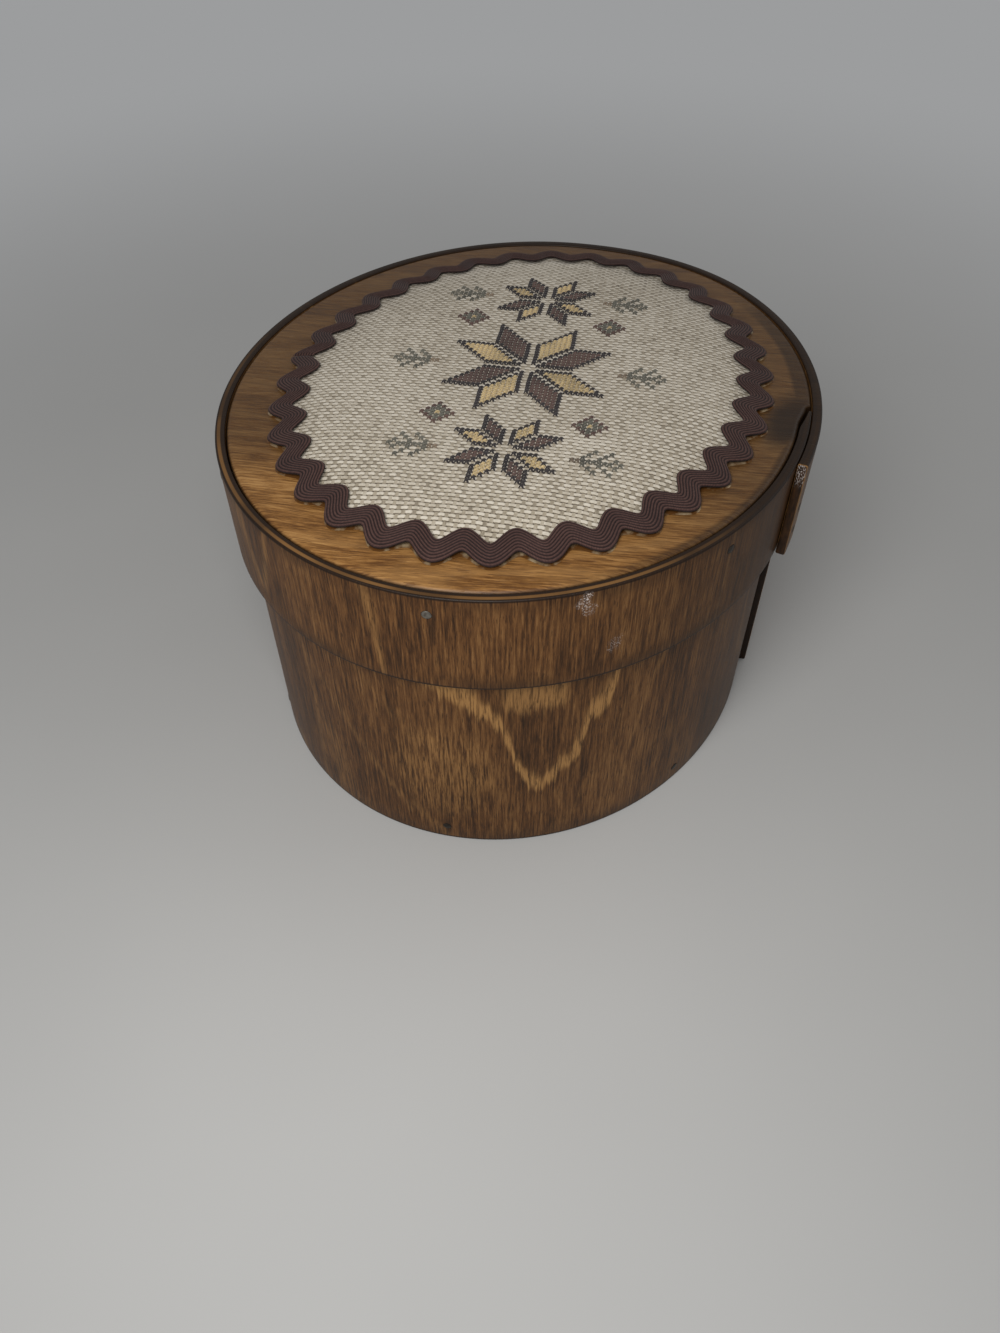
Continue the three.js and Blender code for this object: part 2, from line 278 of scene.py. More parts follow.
def add_node(tree, kind, inputs=None, **settings):
    """A node with its settings made and its inputs linked or set."""
    node = tree.nodes.new(kind)
    for name, value in settings.items():
        setattr(node, name, value)
    for key, value in (inputs or {}).items():
        connect(tree, node.inputs[key], value)
    return node


def field(tree, kind, inputs=None, output=0, **settings):
    """One output of a new node."""
    node = add_node(tree, kind, inputs, **settings)
    return Field(tree, node.outputs[output])


def object_place(tree):
    """Where a point lies on its piece, in metres."""
    return field(tree, "ShaderNodeTexCoord", output="Object")


def stored_vector(tree, name):
    """A vector that the mesh stores at its points."""
    return field(tree, "ShaderNodeAttribute", attribute_name=name, output="Vector")


def parts_of(vector):
    """The X, Y and Z fields of a vector field."""
    node = add_node(vector.tree, "ShaderNodeSeparateXYZ", {0: vector})
    return [Field(vector.tree, socket) for socket in node.outputs]


def vector_of(tree, x=0, y=0, z=0):
    return field(tree, "ShaderNodeCombineXYZ", {0: x, 1: y, 2: z})


def stretched(vector, scales):
    return field(vector.tree, "ShaderNodeVectorMath", {0: vector, 1: scales}, operation="MULTIPLY")


def looked_up(value, points):
    """Looks a field up in a curve through the points, each a value and its result."""
    places, results = np.array(points, dtype=float).T
    span, peak = places[-1] - places[0], results.max()
    node = add_node(value.tree, "ShaderNodeFloatCurve")
    connect(value.tree, node.inputs["Value"], (value - places[0]) / span)
    curve = node.mapping.curves[0]
    for place, result in zip(places[1:-1], results[1:-1]):
        curve.points.new((place - places[0]) / span, result / peak)
    curve.points[0].location = (0, results[0] / peak)
    curve.points[len(points) - 1].location = (1, results[-1] / peak)
    for point in curve.points:
        point.handle_type = "VECTOR"
    node.mapping.update()
    return Field(value.tree, node.outputs[0]) * peak


def near_place(sideways, up, reach_sideways, reach_up):
    """1 at the middle of an upright ellipse, 0 outside it."""
    across, along = sideways / reach_sideways, up / reach_up
    return (across * across + along * along).step(1, 0.1)


def noise(vector, scale, detail=2.0, roughness=0.5):
    """Smooth noise from 0 to 1, with scale in features per metre: one number, or one each for X, Y and Z."""
    scales = scale if isinstance(scale, tuple) else (scale, scale, scale)
    inputs = {"Vector": stretched(vector, scales), "Scale": 1, "Detail": detail, "Roughness": roughness}
    return field(vector.tree, "ShaderNodeTexNoise", inputs)


def ramp(factor, *stops):
    """A colour that passes through the stops, each a place and a colour."""
    node = add_node(factor.tree, "ShaderNodeValToRGB", {0: factor})
    elements = node.color_ramp.elements
    while len(elements) < len(stops):
        elements.new(0.5)
    for element, (place, stop_colour) in zip(elements, stops):
        element.position = place
        element.color = (*stop_colour, 1)
    return Field(factor.tree, node.outputs[0])


def mixed(factor, first, second):
    """The first colour, with the second laid over it by the factor. The factor or the first is a field."""
    tree = (factor if isinstance(factor, Field) else first).tree
    node = add_node(tree, "ShaderNodeMix", data_type="RGBA")
    connect(tree, node.inputs[0], factor)
    for socket, value in ((node.inputs[6], first), (node.inputs[7], second)):
        connect(tree, socket, value if isinstance(value, Field) else (*value, 1))
    return Field(tree, node.outputs[2])


def bump(height, distance, strength):
    """A shading normal for a relief whose height runs from 0 to 1 over the distance."""
    inputs = {"Height": height, "Distance": distance, "Strength": strength}
    return field(height.tree, "ShaderNodeBump", inputs)


def new_material(name):
    """An empty node material and its tree."""
    material = bpy.data.materials.new(name)
    material.use_nodes = True
    material.node_tree.nodes.clear()
    return material, material.node_tree


def close_material(tree, **sockets):
    """Ends a material in a Principled shader, with its sockets named in words joined by underscores."""
    shader = add_node(tree, "ShaderNodeBsdfPrincipled")
    for name, value in sockets.items():
        words = name.replace("_", " ").title().replace("Ior", "IOR")
        connect(tree, shader.inputs[words], value)
    output = tree.nodes.new("ShaderNodeOutputMaterial")
    tree.links.new(shader.outputs[0], output.inputs[0])


# Meshes


SHORTEST_EDGE = 0.01 * MM


def new_piece(name, vertices, faces, material):
    """A piece at the origin, with its place in its mesh and its faces pointing out."""
    mesh = bpy.data.meshes.new(name)
    mesh.from_pydata([tuple(v) for v in vertices], [], [tuple(f) for f in faces])
    work = bmesh.new()
    work.from_mesh(mesh)
    bmesh.ops.recalc_face_normals(work, faces=work.faces)
    work.to_mesh(mesh)
    work.free()
    mesh.materials.append(material)
    piece = bpy.data.objects.new(name, mesh)
    bpy.context.scene.collection.objects.link(piece)
    return piece


def smooth(piece, sharp_angle=38):
    """Shades a piece smooth, apart from edges sharper than the angle in degrees."""
    piece.data.shade_smooth()
    piece.data.set_sharp_from_angle(angle=math.radians(sharp_angle))
    return piece


def lofted(rings):
    """Vertices and faces of a closed surface over rings of equal count, with a fan in each end ring."""
    rows, count = rings.shape[:2]
    index = np.arange(rows * count).reshape(rows, count)
    after = np.roll(index, -1, axis=1)
    sides = np.stack([index[:-1], after[:-1], after[1:], index[1:]], axis=-1).reshape(-1, 4)
    vertices = np.concatenate([rings.reshape(-1, 3), rings[[0, -1]].mean(axis=1)])
    first_middle, last_middle = rows * count, rows * count + 1
    first_fan = [(first_middle, b, a) for a, b in zip(index[0], after[0])]
    last_fan = [(last_middle, a, b) for a, b in zip(index[-1], after[-1])]
    return vertices, [*sides.tolist(), *first_fan, *last_fan]


def settle(piece):
    """Applies the piece's modifiers to its mesh."""
    material = piece.data.materials[0] if piece.data.materials else None
    graph = bpy.context.evaluated_depsgraph_get()
    mesh = bpy.data.meshes.new_from_object(piece.evaluated_get(graph), depsgraph=graph)
    piece.modifiers.clear()
    piece.data = mesh
    if material and not mesh.materials:
        mesh.materials.append(material)


def drop_loose(piece):
    """Deletes points that no face uses and faces without area."""
    work = bmesh.new()
    work.from_mesh(piece.data)
    bmesh.ops.delete(work, geom=[v for v in work.verts if not v.link_faces], context="VERTS")
    bmesh.ops.dissolve_degenerate(work, edges=work.edges, dist=SHORTEST_EDGE)
    work.to_mesh(piece.data)
    work.free()


def points_of(mesh):
    flat = np.empty(len(mesh.vertices) * 3, dtype=np.float32)
    mesh.vertices.foreach_get("co", flat)
    return flat.reshape(-1, 3).astype(float)


def store_vectors(mesh, name, vectors):
    attribute = mesh.attributes.new(name, "FLOAT_VECTOR", "POINT")
    attribute.data.foreach_set("vector", np.asarray(vectors, dtype=np.float32).ravel())


def stacked(first, second):
    """Vertices and faces of two shapes, each a pair of these, as one."""
    vertices, faces = first
    more_vertices, more_faces = second
    moved = [tuple(i + len(vertices) for i in face) for face in more_faces]
    return [*vertices, *more_vertices], [*faces, *moved]


def assign(piece, body, slot, *nodes):
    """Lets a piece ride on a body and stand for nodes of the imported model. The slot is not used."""
    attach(piece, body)
    if nodes:
        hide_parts(*nodes)


# The ovals and the bent strips


FEATHER_LOSS_SHARE = 0.7
STATION_STEP = 0.75
ARRIS_STEPS = 4
FACE_ROWS = 12
BOARD_POINTS = 540
ANGLE_SLACK = 0.05


def oval_place(angle, stand_off):
    """Points and outward normals at angles round the box, in degrees, at a stand-off from the base's oval."""
    box = shape()
    radians = np.radians(angle)
    turn = np.arctan2(np.sin(radians) / box.half_width, np.cos(radians) / box.half_length)
    normal = oval_normal(turn)
    middle = np.stack([box.half_length * np.cos(turn), box.half_width * np.sin(turn)], axis=-1)
    return middle + normal * np.expand_dims(stand_off, -1), normal


def oval_normal(turn):
    """Outward normals of the oval at its parameter, in radians."""
    box = shape()
    normal = np.stack([np.cos(turn) / box.half_length, np.sin(turn) / box.half_width], axis=-1)
    return normal / np.linalg.norm(normal, axis=-1, keepdims=True)


def oval_coordinates(points):
    """The angle in degrees and the stand-off of points, which undoes oval_place."""
    box = shape()
    flat = points[:, :2]
    stand_off = np.zeros(len(flat))
    turn = np.arctan2(flat[:, 1] / box.half_width, flat[:, 0] / box.half_length)
    for _ in range(6):
        normal = oval_normal(turn)
        foot = flat - normal * stand_off[:, None]
        turn = np.arctan2(foot[:, 1] / box.half_width, foot[:, 0] / box.half_length)
        middle = np.stack([box.half_length * np.cos(turn), box.half_width * np.sin(turn)], axis=-1)
        stand_off = ((flat - middle) * oval_normal(turn)).sum(axis=-1)
    angle = np.degrees(np.arctan2(box.half_width * np.sin(turn), box.half_length * np.cos(turn)))
    return angle, stand_off


class Strip:
    """One bent strip. A run is how far round from its square outer end a section lies, in degrees."""

    def __init__(self, start, lap_span, bulge_span, stand_off, bottom, top):
        self.start = start
        self.lap_span = lap_span
        self.bulge_span = bulge_span
        self.stand_off = stand_off
        self.bottom = bottom
        self.top = top
        self.end = 360 + lap_span

    def outer_face(self, run):
        """Stand-off of the outer face, which is proud over the lap and then comes back to the oval."""
        box = shape()
        fall = np.clip((run - self.bulge_span) / box.bulge_fall_span, 0, 1)
        fallen = fall * fall * (3 - 2 * fall)
        return self.stand_off + (box.strip_thickness + box.glue_line) * (1 - fallen)

    def thickness(self, run):
        """Thickness of the strip, whose inner end is planed thin under the lap."""
        box = shape()
        thinned = np.clip((run - self.end + box.feather_span) / box.feather_span, 0, 1)
        return box.strip_thickness * (1 - FEATHER_LOSS_SHARE * thinned)

    def run_at(self, angle):
        return np.mod(angle - self.start, 360)

    def inner_face_at(self, angle):
        """Stand-off of the innermost face at an angle, which is the inner layer's within the lap."""
        run = self.run_at(angle)
        inner_run = np.where(run < self.lap_span, run + 360, run)
        return self.outer_face(inner_run) - self.thickness(inner_run)

    def outer_face_at(self, angle):
        return self.outer_face(self.run_at(angle))


def base_strip():
    box = shape()
    laps = (box.base_lap_start, box.base_lap_span, box.base_bulge_span)
    return Strip(*laps, 0, 0, box.wall_height)


def lid_strip():
    box = shape()
    laps = (box.lid_lap_start, box.lid_lap_span, box.lid_bulge_span)
    return Strip(*laps, box.lid_stand_off, box.rim_height, box.box_height)


def strip_section(inner, outer, bottom, top, ease):
    """Stand-offs and heights round a strip's section, with rounded arrises and rows up both faces."""
    ease = min(ease, (outer - inner) / 3)
    corners = [
        (outer - ease, bottom + ease, -90),
        (outer - ease, top - ease, 0),
        (inner + ease, top - ease, 90),
        (inner + ease, bottom + ease, 180),
    ]
    section = []
    for i, (stand_off, height, first) in enumerate(corners):
        for turn in np.radians(np.linspace(first, first + 90, ARRIS_STEPS + 1)):
            section.append((stand_off + ease * math.cos(turn), height + ease * math.sin(turn)))
        if i % 2 == 0:
            across = section[-1][0]
            rise = np.linspace(corners[i][1], corners[(i + 1) % 4][1], FACE_ROWS + 1)[1:-1]
            section.extend((across, height) for height in rise)
    return np.array(section)


def end_stations(strip, ease):
    """Runs of the stations and how far each is drawn in, so that both ends have rounded arrises."""
    ease_run = math.degrees(ease / shape().half_length)
    turns = np.linspace(0, math.pi / 2, ARRIS_STEPS)
    outer_end = [(ease_run * (1 - math.cos(t)), ease * (1 - math.sin(t))) for t in turns]
    middle = [(run, 0) for run in np.arange(STATION_STEP, strip.end - STATION_STEP, STATION_STEP)]
    inner_end = [(strip.end - run, inset) for run, inset in reversed(outer_end)]
    return [*outer_end, *middle, *inner_end]


def strip_mesh(strip):
    """Vertices and faces of a whole bent strip."""
    ease = shape().strip_ease
    rings = []
    for run, inset in end_stations(strip, ease):
        outer = float(strip.outer_face(run))
        inner = outer - float(strip.thickness(run))
        inset = min(inset, (outer - inner) / 3)
        section = strip_section(inner + inset, outer - inset, strip.bottom + inset, strip.top - inset, ease)
        flat, _ = oval_place(np.full(len(section), strip.start + run), section[:, 0])
        rings.append(np.column_stack([flat, section[:, 1]]))
    return lofted(np.array(rings))


def run_length(run):
    """How far along a strip a run in degrees reaches, in metres."""
    return np.radians(run) * (shape().half_length + shape().half_width) / 2


def store_grain(piece, strip):
    """Stores where each point was in the flat strip: along it, through it from its outer face, and up it."""
    box = shape()
    points = points_of(piece.data)
    angle, stand_off = oval_coordinates(points)
    run = np.mod(angle - strip.start + ANGLE_SLACK, 360) - ANGLE_SLACK
    outer = strip.outer_face(np.clip(run, 0, None))
    inner_layer = stand_off < outer - box.strip_thickness - box.glue_line / 2
    under = (run < strip.lap_span + ANGLE_SLACK) & inner_layer
    run = np.where(under, run + 360, run)
    depth = strip.outer_face(np.clip(run, 0, None)) - stand_off
    store_vectors(piece.data, "grain", np.column_stack([run_length(run), depth, points[:, 2]]))


def board_edge(strip, angle):
    """Stand-off of a board's edge, which follows the strip's inner face and keeps clear of its thin end."""
    box = shape()
    nearby = [strip.inner_face_at(angle + share * box.relief_angle) for share in np.linspace(-1, 1, 9)]
    return np.min(nearby, axis=0) - box.fitting_gap


def board_mesh(strip, profile):
    """Closed board over a profile of insets from its edge and heights."""
    angle = np.linspace(0, 360, BOARD_POINTS, endpoint=False)
    edge = board_edge(strip, angle)
    rings = []
    for inset, height in profile:
        flat, _ = oval_place(angle, edge - inset)
        rings.append(np.column_stack([flat, np.full(BOARD_POINTS, height)]))
    return lofted(np.array(rings))


def lower_arris(radius, height):
    """Insets and heights round a board's lower edge, up from its underside."""
    turns = np.linspace(0, math.pi / 2, 5)
    return [(radius * (1 - math.sin(t)), height + radius * (1 - math.cos(t))) for t in turns]


def upper_arris(radius, height):
    """Insets and heights round a board's upper edge, up to its top."""
    turns = np.linspace(0, math.pi / 2, 7)
    return [(radius * (1 - math.cos(t)), height - radius * (1 - math.sin(t))) for t in turns]


# Nails


NAIL_SIDES = 24
BASE_TACK_HEIGHT_SHARES = (0.28, 0.56, 0.84)
LID_TACK_HEIGHT_SHARES = (0.32, 0.72)


def nail_profile(nail_length, clearance=0.0):
    """Radii and heights of a nail that points down from the origin, or of its hole."""
    nail = nail_shape()
    shank = nail.shank_radius + clearance
    head = nail.head_radius + clearance
    seat = -nail.head_thickness - clearance
    point_start = nail.tip_length - nail_length
    shaft = [(0, -nail_length - clearance), (shank, point_start), (shank, seat), (head, seat)]
    if clearance:
        above = shape().strip_thickness
        return [*shaft, (head, above), (0, above)]
    turns = np.linspace(0, math.pi / 2, 5)
    dome = [(head * math.cos(t), nail.head_dome * math.sin(t)) for t in turns]
    return [*shaft, *dome]


def revolved(profile):
    """Vertices and faces of a profile turned about Z. Its first and last points lie on the axis."""
    turns = np.linspace(0, 2 * math.pi, NAIL_SIDES, endpoint=False)
    circle = np.column_stack([np.cos(turns), np.sin(turns), np.ones(NAIL_SIDES)])
    rings = [circle * (radius, radius, height) for radius, height in profile[1:-1]]
    vertices, faces = lofted(np.array(rings))
    vertices[-2] = (0, 0, profile[0][1])
    vertices[-1] = (0, 0, profile[-1][1])
    return vertices, faces


def nail_spots(strip, angles, heights):
    """Places on a strip's outer face, with the directions that point out of it."""
    angles = np.asarray(angles, dtype=float)
    flat, normal = oval_place(angles, strip.outer_face_at(angles))
    places = np.column_stack([flat, heights])
    return places, np.column_stack([normal, np.zeros(len(angles))])


def brad_spots(strip, height):
    """Evenly spaced brads round a strip at one height."""
    nail = nail_shape()
    angles = nail.brad_first_angle + np.arange(nail.brad_count) * 360 / nail.brad_count
    return nail_spots(strip, angles, np.full(nail.brad_count, height))


def tack_spots(strip, bottom, top, height_shares):
    """A row of tacks up a strip's outer end, at shares of the way from bottom to top."""
    heights = bottom + (top - bottom) * np.array(height_shares)
    return nail_spots(strip, np.full(len(heights), strip.start + nail_shape().tack_inset_angle), heights)


def base_tack_spots():
    return tack_spots(base_strip(), 0, shape().rim_height, BASE_TACK_HEIGHT_SHARES)


def lid_tack_spots():
    box = shape()
    board_underside = box.box_height - box.board_thickness
    return tack_spots(lid_strip(), box.rim_height, board_underside, LID_TACK_HEIGHT_SHARES)


def base_brad_spots():
    return brad_spots(base_strip(), shape().board_thickness / 2)


def lid_brad_spots():
    return brad_spots(lid_strip(), shape().box_height - shape().board_thickness / 2)


def nail_cutter(name, groups):
    """One object that holds the holes of several groups of nails, each the nails' spots and their length."""
    holes = ([], [])
    for (places, outwards), nail_length in groups:
        hole, faces = revolved(nail_profile(nail_length, nail_shape().clearance))
        for place, outward in zip(places, outwards):
            turn = np.array(Vector(outward).to_track_quat("Z", "Y").to_matrix())
            holes = stacked(holes, (hole @ turn.T + place, faces))
    return new_piece(name, *holes, bpy.data.materials.new(name))


def cut_holes(piece, groups):
    """Cuts the holes of several groups of nails into a piece."""
    cutter = nail_cutter(piece.name + "_holes", groups)
    modifier = piece.modifiers.new("Nail holes", "BOOLEAN")
    modifier.operation = "DIFFERENCE"
    modifier.solver = "MANIFOLD"
    modifier.object = cutter
    settle(piece)
    while len(piece.data.materials) > 1:
        piece.data.materials.pop()
    bpy.data.objects.remove(cutter)
    drop_loose(piece)


def geometry_tree(name, inputs):
    """A Geometry Nodes group with named inputs, each a name, a socket kind and a default."""
    tree = bpy.data.node_groups.new(name, "GeometryNodeTree")
    tree.interface.new_socket("Geometry", in_out="INPUT", socket_type="NodeSocketGeometry")
    for label, kind, default in inputs:
        socket = tree.interface.new_socket(label, in_out="INPUT", socket_type=kind)
        if default is not None:
            socket.default_value = default
    tree.interface.new_socket("Geometry", in_out="OUTPUT", socket_type="NodeSocketGeometry")
    source = tree.nodes.new("NodeGroupInput")
    given = {socket.name: Field(tree, socket) for socket in source.outputs if socket.name}
    return tree, given


def close_tree(tree, geometry, material):
    """Ends a tree in Realize Instances and Set Material."""
    real = field(tree, "GeometryNodeRealizeInstances", {0: geometry})
    painted = field(tree, "GeometryNodeSetMaterial", {"Geometry": real, "Material": material})
    output = tree.nodes.new("NodeGroupOutput")
    tree.links.new(painted.socket, output.inputs[0])


def grown(name, tree, values, material, carrier=None):
    """Runs a tree on a carrier mesh and gives back the result as a plain piece."""
    holder = bpy.data.objects.new(name, carrier or bpy.data.meshes.new(name))
    bpy.context.scene.collection.objects.link(holder)
    modifier = holder.modifiers.new(tree.name, "NODES")
    modifier.node_group = tree
    for item in tree.interface.items_tree:
        if item.in_out == "INPUT" and item.name in values:
            modifier[item.identifier] = values[item.name]
    settle(holder)
    if not holder.data.materials:
        holder.data.materials.append(material)
    return holder


def scatter_tree(name, material):
    """Copies of a template on points, each turned to its point's outward direction."""
    tree, given = geometry_tree(name, [("Template", "NodeSocketObject", None)])
    template = field(tree, "GeometryNodeObjectInfo", {0: given["Template"]}, output="Geometry")
    outward = field(tree, "GeometryNodeInputNamedAttribute", {0: "outward"}, data_type="FLOAT_VECTOR")
    turned = field(tree, "FunctionNodeAlignRotationToVector", {"Vector": outward}, axis="Z")
    spots = field(tree, "GeometryNodeMeshToPoints", {0: given["Geometry"]})
    copies = {"Points": spots, "Instance": template, "Rotation": turned}
    close_tree(tree, field(tree, "GeometryNodeInstanceOnPoints", copies), material)
    return tree


def spot_mesh(name, places, outwards):
    """Points alone, each with its outward direction."""
    mesh = bpy.data.meshes.new(name)
    mesh.from_pydata([tuple(p) for p in places], [], [])
    store_vectors(mesh, "outward", outwards)
    return mesh


def scattered(name, template, places, outwards, material):
    """One piece of copies of a template, which is removed."""
    tree = scatter_tree("Scatter " + name, material)
    carrier = spot_mesh(name + "_spots", places, outwards)
    piece = grown(name, tree, {"Template": template}, material, carrier)
    bpy.data.objects.remove(template)
    return piece


def nails(name, body, node, spots, nail_length, material):
    """Nails at the spots, which stand for the numbered nodes of that name."""
    places, outwards = spots
    template = smooth(new_piece(name + "_template", *revolved(nail_profile(nail_length)), material))
    piece = scattered(name, template, places, outwards, material)
    assign(piece, body, "nail_steel", *[f"{node}_{i + 1}" for i in range(len(places))])


# The panel: wadding, cloth and stitches


CROWN_POWER = 6
CLOTH_BODY = 0.8 * MM
THREAD_STRAY = 0.08
RELIEF_FADE = 30
WEAVE_SEED = 7


def panel_middle():
    middle = (CLOTH_LOW + CLOTH_HIGH) / 2
    return np.array([middle.x, middle.y])


def panel_halves():
    halves = (CLOTH_HIGH - CLOTH_LOW) / 2
    return np.array([halves.x, halves.y])


def cloth_underside(share):
    """Height of the cloth's underside, from the panel's middle, share 0, to its edge, share 1."""
    box = shape()
    panel = panel_shape()
    hem_share = 1 - panel.hem_width / panel_halves()[1]
    drop = np.minimum(1, (share / hem_share) ** CROWN_POWER)
    return box.box_height + box.fitting_gap + (panel.crown + box.fitting_gap) * (1 - drop)


def cloth_top(share):
    """Height of the cloth's upper face, halfway up its relief."""
    return cloth_underside(share) + CLOTH_BODY


def panel_ring(share, height, count):
    """Points round the panel's oval at a share of its size."""
    turn = np.linspace(0, 2 * math.pi, count, endpoint=False)
    flat = panel_middle() + share * panel_halves() * np.column_stack([np.cos(turn), np.sin(turn)])
    return np.column_stack([flat, np.broadcast_to(height, count)])


def turned(flat, angle):
    """Points turned about the origin by an angle in degrees."""
    c, s = math.cos(math.radians(angle)), math.sin(math.radians(angle))
    return flat @ np.array([[c, s], [-s, c]])


def weave_stray(columns, rows):
    """How far the threads stray from an even grid, counted in threads."""
    sideways = np.sin(columns * 0.37 + 1.4 * np.sin(rows * 0.23)) + 0.7 * np.sin(rows * 1.1 + columns * 0.13)
    upward = np.sin(rows * 0.41 + 1.2 * np.sin(columns * 0.19)) + 0.7 * np.sin(columns * 0.9 - rows * 0.17)
    return np.column_stack([sideways, upward]) * THREAD_STRAY


def weave_place(columns, rows):
    """Points of the cloth's plan at places counted in threads from its middle."""
    panel = panel_shape()
    counted = (np.column_stack([columns, rows]) + weave_stray(columns, rows)) * panel.thread_pitch
    return panel_middle() + turned(counted, panel.weave_turn)


def share_of(flat):
    """How far points lie from the panel's middle, 0, toward its edge, 1."""
    return np.linalg.norm((flat - panel_middle()) / panel_halves(), axis=-1)


def float_height(columns, rows):
    """Relief of the weave at half-thread places: floats high, with every other one higher, and holes low."""
    column_odd, row_odd = columns % 2 == 1, rows % 2 == 1
    crossing = column_odd & row_odd
    bright = (columns // 2 + rows // 2) % 2 == 0
    variety = np.random.default_rng(WEAVE_SEED).uniform(0.8, 1.1, columns.shape)
    between = np.where(column_odd, 0.8, np.where(row_odd, 0.26, 0))
    return np.where(crossing, np.where(bright, 1.0, 0.56), between) * variety


def cloth_mesh():
    """The top of the evenweave in half-thread squares, clipped to the panel's oval, and its thread counts."""
    panel = panel_shape()
    reach = int(2 * (panel_halves()[0] / panel.thread_pitch + 2))
    counts = np.arange(-reach, reach + 1)
    columns, rows = (grid.ravel() for grid in np.meshgrid(counts, counts))
    flat = weave_place(columns / 2, rows / 2)
    share = share_of(flat)
    outside = share > 1
    middle = panel_middle()
    flat[outside] = middle + (flat[outside] - middle) / share[outside, None]
    fade = np.clip((1 - share) * RELIEF_FADE, 0, 1)
    relief = panel.relief * (float_height(columns, rows) - 0.5) * fade
    vertices = np.column_stack([flat, cloth_top(np.minimum(share, 1)) + relief])
    size = len(counts)
    index = np.arange(size * size).reshape(size, size)
    quads = np.stack([index[:-1, :-1], index[:-1, 1:], index[1:, 1:], index[1:, :-1]], axis=-1).reshape(-1, 4)
    threads = np.column_stack([columns / 2, rows / 2, np.zeros(len(columns))])
    return vertices, quads[(~outside[quads]).any(axis=1)], threads


STAR_REACH = 8
SMALL_STAR_REACH = 5
SMALL_STAR_COLUMN = 29
DIAMOND_RADIUS = 3
DIAMOND_PLACES = ((19, 15), (-19, 15), (19, -15), (-19, -15))
SPRIG_PLACES = ((0, 19), (30, 13), (-30, 13))
SPRIG = (
    "...g...",
    "..g.g..",
    "g..g..g",
    ".g.g.g.",
    "..ggg..",
    "g..g..g",
    ".g.g.g.",
    "..ggg..",
    "...t...",
    "...t...",
)


def star_cells(reach):
    """An eight-point star: its petals are outlined in black and filled with two colours in turn."""
    cells = {}
    for column, row in product(range(-2 * reach, 2 * reach + 1), repeat=2):
        far, near = max(abs(column), abs(row)), min(abs(column), abs(row))
        if not (1 <= near <= reach and 1 <= far - near <= reach):
            continue
        outline = near in (1, reach) or far - near in (1, reach)
        first = (abs(column) > abs(row)) == (column * row > 0)
        cells[column, row] = "black" if outline else "brown" if first else "tan"
    return cells


def diamond_cells(radius):
    """A small diamond of nested rings."""
    rings = ("tan", "grey", "grey", "brown")
    reach = range(-radius, radius + 1)
    return {(c, r): rings[abs(c) + abs(r)] for c, r in product(reach, reach) if abs(c) + abs(r) <= radius}


def sprig_cells():
    """A leafy sprig that stands on its stem."""
    yarns = {"g": "grey", "t": "taupe"}
    rows = enumerate(reversed(SPRIG))
    return {(c - 3, r): yarns[mark] for r, line in rows for c, mark in enumerate(line) if mark in yarns}


def stitched_cells():
    """The whole pattern: places in threads from the panel's middle, each with its yarn."""
    cells = {}

    def lay(motif, column, row, up=1):
        for (c, r), yarn in motif.items():
            cells[column + c, row + up * r] = yarn

    lay(star_cells(STAR_REACH), 0, 0)
    for side in (-1, 1):
        lay(star_cells(SMALL_STAR_REACH), side * SMALL_STAR_COLUMN, 0)
    for column, row in DIAMOND_PLACES:
        lay(diamond_cells(DIAMOND_RADIUS), column, row)
    for column, row in SPRIG_PLACES:
        lay(sprig_cells(), column, row)
        lay(sprig_cells(), column, -row, up=-1)
    return cells


STRAND_SIDES = 6
STRAND_STEPS = 7
STRAND_RADIUS = 0.3 * MM
LOWER_STRAND_RISE = 0.42 * MM
UPPER_STRAND_RISE = 0.78 * MM
STITCH_HALF_SHARE = 0.46


def strand(start, end, rise):
    """A strand of yarn that comes up through one hole, arches over and goes down through another."""
    rings = []
    direction = np.array(end) - np.array(start)
    across = np.array([-direction[1], direction[0]]) / np.linalg.norm(direction)
    for share in np.linspace(0, 1, STRAND_STEPS):
        middle = np.array(start) + direction * share
        height = rise * math.sin(math.pi * share) ** 0.6 - STRAND_RADIUS
        plump = STRAND_RADIUS * (0.75 + 0.35 * math.sin(math.pi * share))
        turns = np.linspace(0, 2 * math.pi, STRAND_SIDES, endpoint=False)
        flat = middle + np.outer(plump * np.cos(turns), across)
        rings.append(np.column_stack([flat, height + plump * np.sin(turns)]))
    return lofted(np.array(rings))


def cross_stitch(material):
    """Two strands that cross over one crossing of threads, the second over the first."""
    half = panel_shape().thread_pitch * STITCH_HALF_SHARE
    lower = strand((-half, -half), (half, half), LOWER_STRAND_RISE)
    upper = strand((-half, half), (half, -half), UPPER_STRAND_RISE)
    return new_piece("cross_stitch", *stacked(lower, upper), material)


# Braid


BRAID_STEPS_PER_WAVE = 20
BRAID_POINTS_PER_RIB = 5
BRAID_VALLEY = 0.3
BRAID_END_GAP = 0.5 * MM
OVAL_RESOLUTION = 720
SEAM_REACH = 0.005 * MM


def ellipse_share(halves, angle):
    """Share of an ellipse's length from angle 0 to an angle in degrees, going round to the left."""
    turn = math.atan2(math.sin(math.radians(angle)) / halves[1], math.cos(math.radians(angle)) / halves[0])
    turns = np.linspace(0, 2 * math.pi, 3601)
    steps = np.hypot(*(np.diff(half * wave) for half, wave in zip(halves, (np.cos(turns), np.sin(turns)))))
    reached = np.concatenate([[0], np.cumsum(steps)])
    return float(np.interp(turn % (2 * math.pi), turns, reached) / reached[-1])


def braid_lean():
    """Slope at which the braid lies from the cloth down to the board."""
    box, braid = shape(), braid_shape()
    reach = (braid.width + braid.depth) / 2
    inward = np.linspace(0, reach, 49)
    rise = cloth_top(1 - inward / panel_halves()[1]) - box.box_height
    return float(np.max(rise / (reach + inward)))


